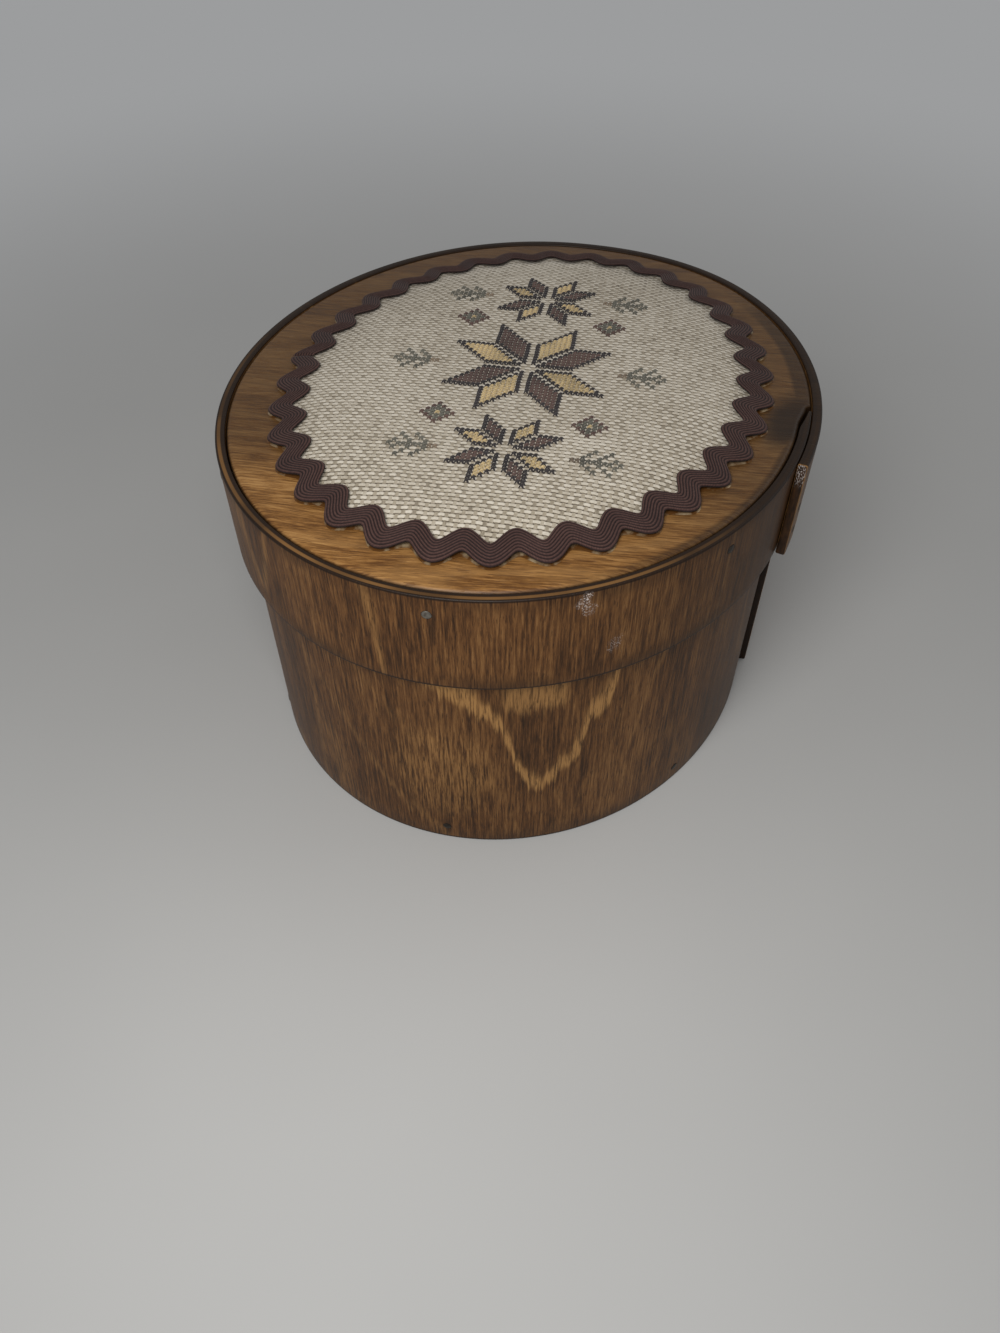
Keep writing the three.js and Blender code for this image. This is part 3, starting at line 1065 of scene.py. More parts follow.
def braid_tree(material):
    """A zigzag ribbon along an oval: round lobes, sharp valleys, and ribs that follow its edges."""
    lengths = ["Half length", "Half width", "Depth", "Width", "Thickness"]
    heights = ["Rib height", "Base height", "Reach"]
    numbers = [*lengths, *heights, "Lean", "Join share", "Gap share", "Valley"]
    counts = ["Waves", "Ribs", "Steps", "Points"]
    inputs = [(name, "NodeSocketFloat", 0.0) for name in numbers]
    inputs += [(name, "NodeSocketInt", 1) for name in counts]
    tree, given = geometry_tree("Rick-rack ribbon", [*inputs, ("Middle", "NodeSocketVector", None)])
    circle = field(tree, "GeometryNodeCurvePrimitiveCircle", {"Resolution": OVAL_RESOLUTION, "Radius": 1})
    halves = vector_of(tree, given["Half length"], given["Half width"], 1)
    placing = {"Geometry": circle, "Translation": given["Middle"], "Scale": halves}
    oval = field(tree, "GeometryNodeTransform", placing)

    def ribbon_sheet(top):
        """The ribbon's upper or lower face, which stores waves along it and its place across it."""
        size = {"Size X": 1, "Size Y": 1, "Vertices X": given["Steps"], "Vertices Y": given["Points"]}
        grid = field(tree, "GeometryNodeMeshGrid", size)
        across, along = ribbon_place(tree, top)
        share = given["Join share"] + along * (1 - given["Gap share"])
        sample = add_node(tree, "GeometryNodeSampleCurve", {"Factor": share.math("FRACT")}, mode="FACTOR")
        sample.use_all_curves = True
        tree.links.new(oval.socket, sample.inputs["Curves"])
        tangent_x, tangent_y, _ = parts_of(Field(tree, sample.outputs["Tangent"]))
        outward, height = ribbon_section(given, across, along, top)
        shift = vector_of(tree, tangent_y * outward, 0 - tangent_x * outward, height)
        on_oval = Field(tree, sample.outputs["Position"])
        place = field(tree, "ShaderNodeVectorMath", {0: on_oval, 1: shift}, operation="ADD")
        waves = vector_of(tree, along * given["Waves"], across, 0)
        marked = field(
            tree,
            "GeometryNodeStoreNamedAttribute",
            {"Geometry": grid, "Name": "ribbon", "Value": waves},
            data_type="FLOAT_VECTOR",
            domain="POINT",
        )
        return field(tree, "GeometryNodeSetPosition", {"Geometry": marked, "Position": place})

    joined = add_node(tree, "GeometryNodeJoinGeometry")
    for top in (True, False):
        tree.links.new(ribbon_sheet(top).socket, joined.inputs[0])
    both = Field(tree, joined.outputs[0])
    closed = field(tree, "GeometryNodeMergeByDistance", {"Geometry": both, "Distance": SEAM_REACH})
    close_tree(tree, closed, material)
    return tree


def ribbon_place(tree, top):
    """Across from -1, inside, to 1, outside, and along from 0 to 1, on a grid of unit size."""
    x, y, _ = parts_of(field(tree, "GeometryNodeInputPosition"))
    side = -2 if top else 2
    return y * side, x + 0.5


def lobe(wave, valley):
    """Round lobes from -1 to 1, with valleys between them that are the rounder the greater their share."""
    rounded = (wave * wave + valley * valley).math("SQRT") - valley
    full = (1 + valley * valley).math("SQRT") - valley
    return rounded / full * 2 - 1


def ribbon_section(given, across, along, top):
    """How far outward and how high a point of the ribbon lies."""
    half_phase = along * given["Waves"] * math.pi
    outer_lobe = lobe(half_phase.math("COSINE"), given["Valley"])
    inner_lobe = lobe(half_phase.math("SINE"), given["Valley"])
    outer = (given["Width"] + given["Depth"] * outer_lobe) / 2
    inner = (given["Width"] + given["Depth"] * inner_lobe) / -2
    outward = inner + (outer - inner) * (across + 1) / 2
    underside = given["Base height"] + given["Lean"] * (given["Reach"] - outward)
    edge = (1 - across * across).math("MAXIMUM", 0).math("POWER", 0.35)
    ends = (abs(along - 0.5) * 2).step(1, 0.9995)
    if not top:
        return outward, underside + given["Thickness"] * 0.5 * (1 - edge * ends)
    ribs = abs(((across + 1) * given["Ribs"] * (math.pi / 2)).math("SINE"))
    relief = given["Rib height"] * (ribs - 0.5)
    swell = 0.5 + edge * ends * 0.5
    return outward, underside + given["Thickness"] * swell + relief * edge * ends


def ribbon(name, material, **changes):
    """A piece made by the ribbon's tree with the braid's sizes, apart from the changes."""
    box, braid = shape(), braid_shape()
    halves = panel_halves()
    gap_share = BRAID_END_GAP / (2 * math.pi * math.sqrt((halves[0] ** 2 + halves[1] ** 2) / 2))
    values = {
        "Half length": float(halves[0]),
        "Half width": float(halves[1]),
        "Depth": braid.depth,
        "Width": braid.width,
        "Thickness": braid.thickness,
        "Rib height": braid.rib_height,
        "Base height": box.box_height + box.fitting_gap,
        "Reach": (braid.width + braid.depth) / 2,
        "Lean": braid_lean(),
        "Join share": ellipse_share(halves, braid.join_angle),
        "Gap share": gap_share,
        "Valley": BRAID_VALLEY,
        "Waves": braid.waves,
        "Ribs": braid.ribs,
        "Steps": braid.waves * BRAID_STEPS_PER_WAVE + 1,
        "Points": braid.ribs * BRAID_POINTS_PER_RIB + 1,
        "Middle": (*panel_middle(), 0),
        **changes,
    }
    return grown(name, braid_tree(material), values, material)


# Materials


ARCH_MM = (
    (-80, 118), (-63, 96), (-53, 79), (-43, 62), (-34, 52), (-28, 45), (-22, 40.5), (-15.6, 35),
    (-12.4, 31), (-10.2, 24), (-8.2, 15), (-6.6, 8), (-3.6, 3), (0, 0), (3, 4.5), (5.4, 9.5),
    (8.8, 11), (10.4, 14), (12.6, 26), (13.4, 29), (17.2, 30), (19.6, 39), (22, 50), (26, 70),
    (33, 108), (42, 132), (60, 150),
)
FIGURE_MM = (
    (-110, 0), (-76, 0), (-72, 0.28), (-68, 0), (-37, 0), (-32, 0.15), (-27, 0), (-4, 0), (-1, 1), (1.5, 1),
    (5, 0.1), (9, 0), (60, 0),
)
TEETH_HEIGHT = 36 * MM
LIMB_PLACE = 11 * MM
LAP_SHADE_START, LAP_SHADE_FULL = 470 * MM, 545 * MM
LIT_RIM_START, LIT_RIM_FULL = 270 * MM, 400 * MM
LIT_RIM_FADE, LIT_RIM_END = 475 * MM, 535 * MM
SMUDGE_PLACE = (-11 * MM, 81 * MM)
LIT_BOARD_PLACE = (88 * MM, 12 * MM)
LIT_BOARD_REACH = 95 * MM
BOARD_GRAIN_TURN = -15


def strip_wood(name, strip, figure, glow=None, scuffs=(), end_painted_shade=0.5, shade_line_height=None):
    """Brown stained wood with upright fibres, an arched figure, dark arrises and a rough outer end.

    The figure is the place of its tip along and up the strip. The glow adds a reach, and each scuff a
    radius and a strength. A band of painted shadow darkens the strip at the given line height, just under
    the lid's lower edge. Painted shade also darkens the strip toward its lap and its outer end.
    """
    tone = colours()
    material, tree = new_material(name)
    grain = stored_vector(tree, "grain")
    along, depth, height = parts_of(grain)
    fibre = noise(grain, (1600, 1, 75), detail=4, roughness=0.75)
    streak = noise(grain, (320, 1, 11), detail=3, roughness=0.6)
    blotch = noise(grain, (40, 1, 18), detail=2)
    level = 0.5 + (fibre - 0.5) * 1.9 + (streak - 0.5) * 0.7 + (blotch - 0.5) * 0.65
    dark_end = ((0.18, tone.strip_dark_and_shade), (0.42, tone.strip_brown))
    light_end = ((0.62, tone.strip_warm), (0.9, tone.strip_light))
    body = ramp(level, *dark_end, *light_end)
    figured = mixed(figure_lines(grain, figure, fibre), body, tone.strip_gold)
    if glow:
        glow_along, glow_height, glow_reach = glow
        shine = near_place(along - glow_along, height - glow_height, glow_reach, 1.4 * glow_reach)
        figured = mixed(shine * fibre.step(0.4, 0.62) * 0.42, figured, tone.strip_gold)
    # Painted shade: the strip darkens toward its lap, on the side where the light falls off.
    painted_shade_near_lap = along.step(LAP_SHADE_START, LAP_SHADE_FULL) * 0.5
    shaded = mixed(painted_shade_near_lap, figured, tone.strip_dark_and_shade)
    pores = noise(grain, (2700, 1, 190), detail=1).step(0.61, 0.68) * 0.65
    pored = mixed(pores, shaded, tone.strip_dark_and_shade)
    inside = depth.step(1.2 * MM, 2.4 * MM) * 0.3
    bare = mixed(inside, pored, tone.strip_light)
    stain = arris_stain_and_shade(height, strip, blotch)
    # Painted shadow: on the base strip, a dark band just under the lid's lower edge.
    if shade_line_height:
        painted_lighting = abs(height - shade_line_height).step(2.2 * MM, 0.2 * MM) * depth.step(1.4 * MM, 0.8 * MM)
        stain = stain.math("MAXIMUM", painted_lighting * 0.6)
    darkened = mixed(stain, bare, tone.edge_stain_and_shade)
    ring = rim_ring(along, depth, height, strip) * (0.3 + 0.5 * blotch.step(0.35, 0.6))
    shown = outer_end(grain, strip, mixed(ring, darkened, tone.rim_gold), end_painted_shade)
    rough = 0.46 + (fibre - 0.5) * 0.25
    below_rim = height.step(strip.top, strip.top - 0.6 * MM)
    for scuff_along, scuff_height, radius, strength in scuffs:
        worn = scuff(grain, scuff_along, scuff_height, radius) * below_rim * strength
        shown = mixed(worn, shown, tone.scuff)
        rough = rough + worn * 0.3
    relief = bump(fibre * 0.7 + streak * 0.3 - pores, 0.12 * MM, 0.45)
    close_material(
        tree,
        base_color=shown,
        roughness=rough,
        specular_ior_level=0.17,
        normal=relief,
        coat_weight=0.03,
        coat_roughness=0.25,
    )
    return material


def figure_lines(grain, figure, fibre):
    """The arches of a flat cut round their tip, and slanting veins elsewhere, broken up by the fibres."""
    along, _, height = parts_of(grain)
    figure_along, figure_tip = figure
    sway = (noise(grain, (16, 1, 10), detail=2) - 0.5) * 2 * MM
    jag = (noise(grain, (800, 1, 30), detail=3) - 0.5) * 15 * MM
    sideways = along - figure_along + sway
    up = height - figure_tip
    arch = looked_up(sideways / MM, ARCH_MM) * MM
    above = up - arch + jag
    limb = abs(sideways - LIMB_PLACE).step(3.5 * MM, 1.5 * MM)
    wide = abs(sideways + 2 * MM).step(13 * MM, 18 * MM).math("MAXIMUM", limb) * 0.55
    rings = looked_up((above - above.math("MAXIMUM", 0) * wide) / MM, FIGURE_MM)
    teeth = (up - TEETH_HEIGHT + jag * 1.6).step(-2 * MM, 2 * MM)
    teeth = teeth * abs(sideways + 2.5 * MM).step(10 * MM, 7 * MM)
    veins = abs(noise(grain, (26, 1, 5), detail=2) - 0.5 + jag * 0.6).step(0.024, 0) * 0.38
    there = near_place(sideways, up, 95 * MM, 400 * MM)
    lines = (rings.math("MAXIMUM", teeth * 0.65) * there).math("MAXIMUM", veins * (1 - there * 0.8))
    return (lines * (0.28 + fibre.step(0.38, 0.56) * 0.9)).math("MINIMUM", 1) * 0.88


def arris_stain_and_shade(height, strip, blotch):
    """Dark stain along both edges of the strip, and a little of it above and below them. The dark line along
    the lower edge is partly stain and partly painted shade, where the strip meets what lies below it.
    """
    upper = height.step(strip.top - 1.1 * MM, strip.top - 0.4 * MM) * 0.95
    under = height.step(strip.top - 6 * MM, strip.top - 1 * MM) * blotch.step(0.3, 0.65) * 0.45
    # Partly stain and partly painted shade: the dark line along the lower edge.
    lower = height.step(strip.bottom + 1.2 * MM, strip.bottom + 0.5 * MM) * 0.9
    over = height.step(strip.bottom + 7 * MM, strip.bottom + 0.5 * MM) * blotch.step(0.42, 0.6) * 0.5
    return upper.math("MAXIMUM", under).math("MAXIMUM", lower).math("MAXIMUM", over)


def rim_ring(along, depth, height, strip):
    """The bare middle of the strip's upper edge, painted lighter at the front, where the light falls, and
    dark elsewhere.
    """
    top = height.step(strip.top - 0.12 * MM, strip.top - 0.02 * MM)
    middle = depth.step(0.5 * MM, 0.75 * MM) * depth.step(1.75 * MM, 1.4 * MM)
    # Painted light: the bare rim shows bright only at the front, where the lamp shines on it.
    painted_lit_front = along.step(LIT_RIM_START, LIT_RIM_FULL) * along.step(LIT_RIM_END, LIT_RIM_FADE)
    return top * middle * (0.06 + 0.94 * painted_lit_front)


def outer_end(grain, strip, around, end_painted_shade):
    """The strip's outer end: mottled end grain, darkened by painted shade, between two light lines, with
    dried glue near its top.
    """
    tone = colours()
    along, _, height = parts_of(grain)
    mottle = noise(grain, (1, 900, 240), detail=3, roughness=0.6)
    end_grain = ramp(mottle, (0.35, tone.edge_stain_and_shade), (0.75, tone.strip_brown))
    # Painted shade: the end face is laid over with the edge colour by the end's painted shade share.
    shaded = mixed(end_painted_shade, end_grain, tone.edge_stain_and_shade)
    line = along.step(0.6 * MM, 0.35 * MM) * (0.4 + 0.5 * mottle.step(0.4, 0.6)) * (1 - end_painted_shade)
    lined = mixed(line, around, tone.strip_gold)
    crumbs = noise(grain, (1, 2600, 1500), detail=2).step(0.5, 0.6)
    glued = crumbs * height.step(strip.top - 8 * MM, strip.top - 4 * MM) * (1 - end_painted_shade)
    shown = mixed(glued * 0.7, shaded, tone.scuff)
    return mixed(along.step(0.22 * MM, 0.08 * MM), lined, shown)


def scuff(grain, scuff_along, scuff_height, radius):
    """A rubbed patch: pale specks of broken varnish in a faint haze."""
    along, _, height = parts_of(grain)
    ragged = (noise(grain, (700, 1, 500), detail=3) - 0.5) * (2.5 * radius)
    reach = near_place(along - scuff_along + ragged, height - scuff_height + ragged, radius, 1.3 * radius)
    specks = noise(grain, (2100, 1, 1900), detail=2, roughness=0.75).step(0.53, 0.6)
    return reach * (specks * 0.94 + 0.06)


def board_wood(name, top):
    """Golden brown board, its grain mostly across the oval, stained dark in places near the top height, and
    darkened by painted shade away from its lit front.
    """
    tone = colours()
    material, tree = new_material(name)
    place = object_place(tree)
    turning = {"Vector": place, "Rotation": (0, 0, math.radians(BOARD_GRAIN_TURN))}
    turned_place = field(tree, "ShaderNodeMapping", turning)
    across, along, deep = parts_of(turned_place)
    sway = noise(turned_place, (24, 10, 9), detail=2)
    bent = vector_of(tree, across + (sway - 0.5) * 14 * MM, along, deep)
    rings = noise(bent, (170, 6, 40), detail=3, roughness=0.6)
    fibre = noise(bent, (1500, 100, 400), detail=5, roughness=0.76)
    cloud = noise(bent, (30, 14, 14), detail=2)
    level = 0.5 + (rings - 0.5) * 0.4 + (fibre - 0.5) * 1.9 + (cloud - 0.5) * 0.6
    body = ramp(level, (0.25, tone.board_dark), (0.52, tone.board_brown), (0.8, tone.board_light))
    vein = abs(noise(bent, (42, 9, 20), detail=2) - 0.5).step(0.05, 0) * 0.35
    veined = mixed(vein, body, tone.board_light)
    x, y, _ = parts_of(place)
    # Painted shade: the board darkens toward its shade colour away from its lit front near +X, where the
    # light falls off.
    lit_x, lit_y = LIT_BOARD_PLACE
    uneven = (cloud - 0.5) * 50 * MM
    painted_lighting = near_place(
        x - lit_x + uneven, y - lit_y + uneven, LIT_BOARD_REACH, LIT_BOARD_REACH
    )
    darkened = mixed((1 - painted_lighting) * 0.62, veined, tone.board_painted_shade)
    pores = noise(bent, (2500, 170, 900), detail=1).step(0.6, 0.66) * 0.65
    pored = mixed(pores, darkened, tone.board_dark)
    shown = mixed(board_stains(place, cloud, top), pored, tone.edge_stain_and_shade)
    close_material(
        tree,
        base_color=shown,
        roughness=0.42 + (fibre - 0.5) * 0.22,
        specular_ior_level=0.2,
        normal=bump(fibre * 0.7 + rings * 0.3 - pores, 0.12 * MM, 0.6),
        coat_weight=0.03,
        coat_roughness=0.22,
    )
    return material


def board_stains(place, cloud, top):
    """Dark stain in the groove round the board and in a smudge near the lap, and a darker band just inside
    the edge on the +Y side.
    """
    x, y, height = parts_of(place)
    rolled = height.step(top - 0.2 * MM, top - 0.9 * MM) * 0.92
    outward = (x * x / TOP_HIGH.x**2 + y * y / TOP_LOW.y**2).math("SQRT")
    border = (outward + (cloud - 0.5) * 0.02).step(0.965, 0.985) * y.step(40 * MM, 70 * MM) * 0.6
    smudge_x, smudge_y = SMUDGE_PLACE
    ragged = (cloud - 0.5) * 9 * MM
    smudge = near_place(x - smudge_x + ragged, y - smudge_y + ragged, 20 * MM, 10 * MM)
    stain = rolled.math("MAXIMUM", smudge * (0.6 + 0.5 * cloud)).math("MAXIMUM", border)
    return (stain * height.step(top - 8 * MM, top - 3 * MM)).math("MINIMUM", 0.95)


def nail_metal():
    """Dull steel, darker low on the base and on the laps' side."""
    material, tree = new_material("nail steel")
    place = object_place(tree)
    dull = noise(place, 900, detail=3)
    bright = ramp(dull, (0.3, linear(84, 76, 68)), (0.55, colours().nail))
    _, y, height = parts_of(place)
    darkened = height.step(30 * MM, 15 * MM).math("MAXIMUM", y.step(25 * MM, 45 * MM)) * 0.8
    shown = mixed(darkened, bright, colours().edge_stain_and_shade)
    close_material(
        tree,
        base_color=shown,
        metallic=0.85,
        roughness=0.32 + dull * 0.3,
        normal=bump(dull, 0.05 * MM, 0.4),
    )
    return material


def evenweave():
    """Cream threads over and under each other: bright floats, sunken threads in painted shade, and painted
    shadow in the holes.
    """
    tone = colours()
    material, tree = new_material("cream evenweave")
    threads = stored_vector(tree, "threads")
    column, row, _ = parts_of(threads)
    side = abs(column.math("FRACT") - 0.5) * 2
    end = abs(row.math("FRACT") - 0.5) * 2
    sunken = (column.math("FLOOR") + row.math("FLOOR")).math("PINGPONG", 1)
    crossing = vector_of(tree, column.math("FLOOR"), row.math("FLOOR"))
    chance = field(tree, "ShaderNodeTexWhiteNoise", {"Vector": crossing}, noise_dimensions="3D") - 0.5
    tips = end.step(0.5, 0.8) * side.step(0.85, 0.4)
    above = side.step(1.0, 0.5) * (1 - sunken) + tips * sunken
    below = end.step(0.92, 0.5) * sunken * (1 - tips)
    fibre_along = noise(threads, (13, 1.1, 1), detail=3) - 0.5
    fibre_up = noise(threads, (1.1, 13, 1), detail=3) - 0.5
    slub = noise(threads, (0.09, 1, 1), detail=1) + noise(threads, (1, 0.09, 1), detail=1) - 1
    soil = noise(object_place(tree), 28, detail=3) - 0.5
    uneven = chance * 0.24 + slub * 0.3 + soil * 0.35
    # Painted shade: the sunken threads are darker than the floats, and the holes darkest.
    shade = above * (0.86 + fibre_along * 0.6 + uneven) + below * (0.52 + fibre_up * 0.6 + uneven)
    shown = ramp(shade, (0.08, tone.cloth_hole), (0.5, tone.cloth_painted_shade), (0.95, tone.cloth))
    height = above * 0.7 + below * 0.4 + fibre_along * above * 0.5 + fibre_up * below * 0.5
    close_material(
        tree,
        base_color=shown,
        roughness=0.92,
        specular_ior_level=0.2,
        sheen_weight=0.12,
        sheen_roughness=0.5,
        normal=bump(height, 0.14 * MM, 0.8),
    )
    return material


def wadding_felt():
    """White tufted wadding."""
    material, tree = new_material("white wadding")
    tuft = noise(object_place(tree), 260, detail=5, roughness=0.7)
    shown = ramp(tuft, (0.3, linear(205, 200, 190)), (0.7, colours().padding))
    close_material(tree, base_color=shown, roughness=1, sheen_weight=0.3, normal=bump(tuft, 0.6 * MM, 0.6))
    return material


def yarn(name, yarn_colour):
    """Twisted stranded cotton."""
    material, tree = new_material(name)
    place = object_place(tree)
    twist = noise(place, 2600, detail=2)
    cloud = noise(place, 90, detail=2)
    level = 0.5 + (twist - 0.5) * 0.9 + (cloud - 0.5) * 0.7
    dark = tuple(0.45 * c for c in yarn_colour)
    light = tuple(min(1, 1.25 * c + 0.01) for c in yarn_colour)
    shown = ramp(level, (0.3, dark), (0.5, tuple(yarn_colour)), (0.75, light))
    close_material(
        tree,
        base_color=shown,
        roughness=0.75,
        sheen_weight=0.25,
        sheen_roughness=0.4,
        normal=bump(twist, 0.08 * MM, 0.6),
    )
    return material


def woven_braid():
    """Dark purple-brown ribs, each of small slanting threads, with painted shade between the ribs and a
    painted highlight on their crests.
    """
    tone, braid = colours(), braid_shape()
    material, tree = new_material("purple-brown braid")
    along, across, _ = parts_of(stored_vector(tree, "ribbon"))
    ribs = abs(((across + 1) * (braid.ribs * math.pi / 2)).math("SINE"))
    slant = ((along * 44 + across * 3.5) * (2 * math.pi)).math("SINE") * 0.5 + 0.5
    place = object_place(tree)
    fluff = noise(place, 1800, detail=3)
    cloud = noise(place, 70, detail=2)
    # Painted shade between the ribs and a painted highlight on their crests, the lightest colour below.
    level = ribs * (0.5 + slant * 0.35) + (fluff - 0.5) * 0.5 + (cloud - 0.5) * 0.3 + 0.08
    shown = ramp(level, (0.15, tone.braid_painted_shade), (0.55, tone.braid), (0.95, linear(94, 69, 61)))
    close_material(
        tree,
        base_color=shown,
        roughness=0.8,
        specular_ior_level=0.25,
        sheen_weight=0.05,
        sheen_roughness=0.45,
        normal=bump(slant * 0.6 + fluff * 0.6, 0.09 * MM, 0.6),
    )
    return material


def dried_glue():
    """Patches of pale glue between darker ones."""
    material, tree = new_material("dried glue")
    drop = noise(object_place(tree), 400, detail=3)
    shown = ramp(drop, (0.45, colours().board_dark), (0.7, colours().glue))
    close_material(tree, base_color=shown, roughness=0.4, normal=bump(drop, 0.1 * MM, 0.5))
    return material


def seen_directly(tree):
    """1 for what the camera, a reflection or a clear piece shows, 0 for light on its way to a surface."""
    outputs = add_node(tree, "ShaderNodeLightPath").outputs
    names = ("Is Camera Ray", "Is Glossy Ray", "Is Transmission Ray")
    camera, glossy, clear = (Field(tree, outputs[name]) for name in names)
    return camera.math("MAXIMUM", glossy).math("MAXIMUM", clear)


FLOOR_FADE_START, FLOOR_FADE_END = 0.12, 0.7


def pale_floor():
    """Plain matt floor that fades into the backdrop well away from the box."""
    material, tree = new_material("pale floor")
    place = object_place(tree)
    faint = noise(place, 9, detail=2)
    tone = studio().floor
    shown = ramp(faint, (0.3, tuple(0.97 * c for c in tone)), (0.7, tuple(tone)))
    x, y, _ = parts_of(place)
    faded = (x * x + y * y).math("SQRT").step(FLOOR_FADE_START, FLOOR_FADE_END)
    far = faded * seen_directly(tree)
    close_material(
        tree,
        base_color=mixed(far, shown, (0, 0, 0)),
        roughness=0.9,
        specular_ior_level=0.0,
        emission_color=(*studio().backdrop, 1),
        emission_strength=far,
    )
    return material


# Operators


class BENTWOOD_OT_stage(bpy.types.Operator):
    """Makes the pale floor, the soft lights and the camera at the photograph's view."""

    bl_idname = "bentwood.stage"
    bl_label = "Stage"

    floor_half = 3.0
    floor_drop = 0.05 * MM
    image_height = 1333
    camera_place = (0.2483, 0.1001, 0.2724)
    camera_right = (-0.3900, 0.9208, -0.0046)
    camera_up = (-0.6787, -0.2840, 0.6773)
    focal_pixels = 991.5
    sensor = 36.0
    key_place, key_size = (0.27, 0.05, 0.33), 0.17
    fill_place, fill_size = (-1.1, 1.1, 1.2), 1.4
    lit_place = (0, 0, 0.06)
    sky = (0.97, 0.98, 1.0, 1)

    def execute(self, context):
        self.make_floor()
        self.make_camera(context.scene)
        self.make_light("key", "POINT", self.key_place, self.key_size, studio().key_power)
        self.make_light("fill", "AREA", self.fill_place, self.fill_size, studio().fill_power)
        self.make_world(context.scene)
        context.scene.view_settings.view_transform = "Standard"
        return {"FINISHED"}

    def make_floor(self):
        half, height = self.floor_half, -self.floor_drop
        corners = [(x * half, y * half, height) for x, y in ((-1, -1), (1, -1), (1, 1), (-1, 1))]
        floor = new_piece("floor", corners, [(0, 1, 2, 3)], pale_floor())

    def make_camera(self, scene):
        data = bpy.data.cameras.new("camera")
        data.sensor_width = self.sensor
        data.lens = self.focal_pixels / self.image_height * self.sensor
        data.clip_start = 0.01
        camera = bpy.data.objects.new("camera", data)
        right, up = Vector(self.camera_right), Vector(self.camera_up)
        turn = Matrix((right, up, right.cross(up))).transposed().to_4x4()
        camera.matrix_world = Matrix.Translation(self.camera_place) @ turn
        scene.collection.objects.link(camera)
        scene.camera = camera

    def make_light(self, name, kind, place, size, power):
        data = bpy.data.lights.new(name, kind)
        if kind == "AREA":
            data.size = size
        else:
            data.shadow_soft_size = size / 2
        data.energy = power
        light = bpy.data.objects.new(name, data)
        light.location = place
        aim = Vector(self.lit_place) - Vector(place)
        light.rotation_euler = aim.to_track_quat("-Z", "Y").to_euler()
        bpy.context.scene.collection.objects.link(light)

    def make_world(self, scene):
        world = bpy.data.worlds.new("soft room")
        world.use_nodes = True
        tree = world.node_tree
        tree.nodes.clear()
        strength = studio().world_strength
        soft = field(tree, "ShaderNodeBackground", {"Color": self.sky, "Strength": strength})
        seen = field(tree, "ShaderNodeBackground", {"Color": (*studio().backdrop, 1), "Strength": 1})
        both = field(tree, "ShaderNodeMixShader", {0: seen_directly(tree), 1: soft, 2: seen})
        output = tree.nodes.new("ShaderNodeOutputWorld")
        tree.links.new(both.socket, output.inputs[0])
        scene.world = world


def wooden_piece(name, body, node, slot, shaped, material, holes, grain_of=None):
    """A strip or a board with its nail holes. A strip also stores its grain."""
    piece = new_piece(name, *shaped, material)
    cut_holes(piece, holes)
    if grain_of:
        store_grain(piece, grain_of)
    smooth(piece)
    assign(piece, body, slot, node)


def along_strip(strip, angle):
    """How far along a strip an angle lies."""
    return float(run_length(strip.run_at(angle)))


class BENTWOOD_OT_strips(bpy.types.Operator):
    """Bends the base's and the lid's strips, with their laps, nail holes and grain."""

    bl_idname = "bentwood.strips"
    bl_label = "Bent strips"

    base_figure_angle, base_figure_tip = 27.1, 28 * MM
    lid_figure_angle, lid_figure_tip = 250, 84 * MM
    glow_angle, glow_height, glow_reach = 9, 34 * MM, 19 * MM
    scuffs = (
        (31.9, 105.4 * MM, 2.3 * MM, 0.6),
        (32.7, 102.8 * MM, 2.0 * MM, 0.4),
        (32.4, 107.6 * MM, 1.6 * MM, 0.9),
        (37.6, 88 * MM, 2.4 * MM, 0.35),
    )

    def execute(self, context):
        nail = nail_shape()
        base, lid = base_strip(), lid_strip()
        base_wood = strip_wood(
            "base strip wood",
            base,
            (along_strip(base, self.base_figure_angle), self.base_figure_tip),
            glow=(along_strip(base, self.glow_angle), self.glow_height, self.glow_reach),
            end_painted_shade=0.75,
            shade_line_height=shape().rim_height,
        )
        lid_wood = strip_wood(
            "lid strip wood",
            lid,
            (along_strip(lid, self.lid_figure_angle), self.lid_figure_tip),
            scuffs=[(along_strip(lid, angle), *rest) for angle, *rest in self.scuffs],
            end_painted_shade=0.35,
        )
        base_holes = [(base_brad_spots(), nail.brad_length), (base_tack_spots(), nail.tack_length)]
        lid_holes = [(lid_brad_spots(), nail.brad_length), (lid_tack_spots(), nail.tack_length)]
        bent_base, bent_lid = strip_mesh(base), strip_mesh(lid)
        wooden_piece("base_strip", "base", "base_band", "band_wood", bent_base, base_wood, base_holes, base)
        wooden_piece("lid_strip", "lid", "lid_band", "band_wood", bent_lid, lid_wood, lid_holes, lid)
        return {"FINISHED"}


class BENTWOOD_OT_boards(bpy.types.Operator):
    """Makes the bottom board and the lid's top board, with their eased edges and nail holes."""

    bl_idname = "bentwood.boards"
    bl_label = "Boards"

    unstained = 20 * MM

    def execute(self, context):
        box = shape()
        brad_length = nail_shape().brad_length
        underside = box.box_height - box.board_thickness
        ease = box.board_ease
        bottom_profile = [*lower_arris(ease, 0), *upper_arris(ease, box.board_thickness)]
        top_profile = [*lower_arris(ease, underside), *upper_arris(box.groove_radius, box.box_height)]
        bottom = board_mesh(base_strip(), bottom_profile)
        top = board_mesh(lid_strip(), top_profile)
        bottom_wood = board_wood("bottom board wood", box.board_thickness + self.unstained)
        top_wood = board_wood("top board wood", box.box_height)
        bottom_holes = [(base_brad_spots(), brad_length)]
        top_holes = [(lid_brad_spots(), brad_length)]
        wooden_piece("bottom_board", "base", "base_board", "board_wood", bottom, bottom_wood, bottom_holes)
        wooden_piece("top_board", "lid", "lid_board", "board_wood", top, top_wood, top_holes)
        return {"FINISHED"}


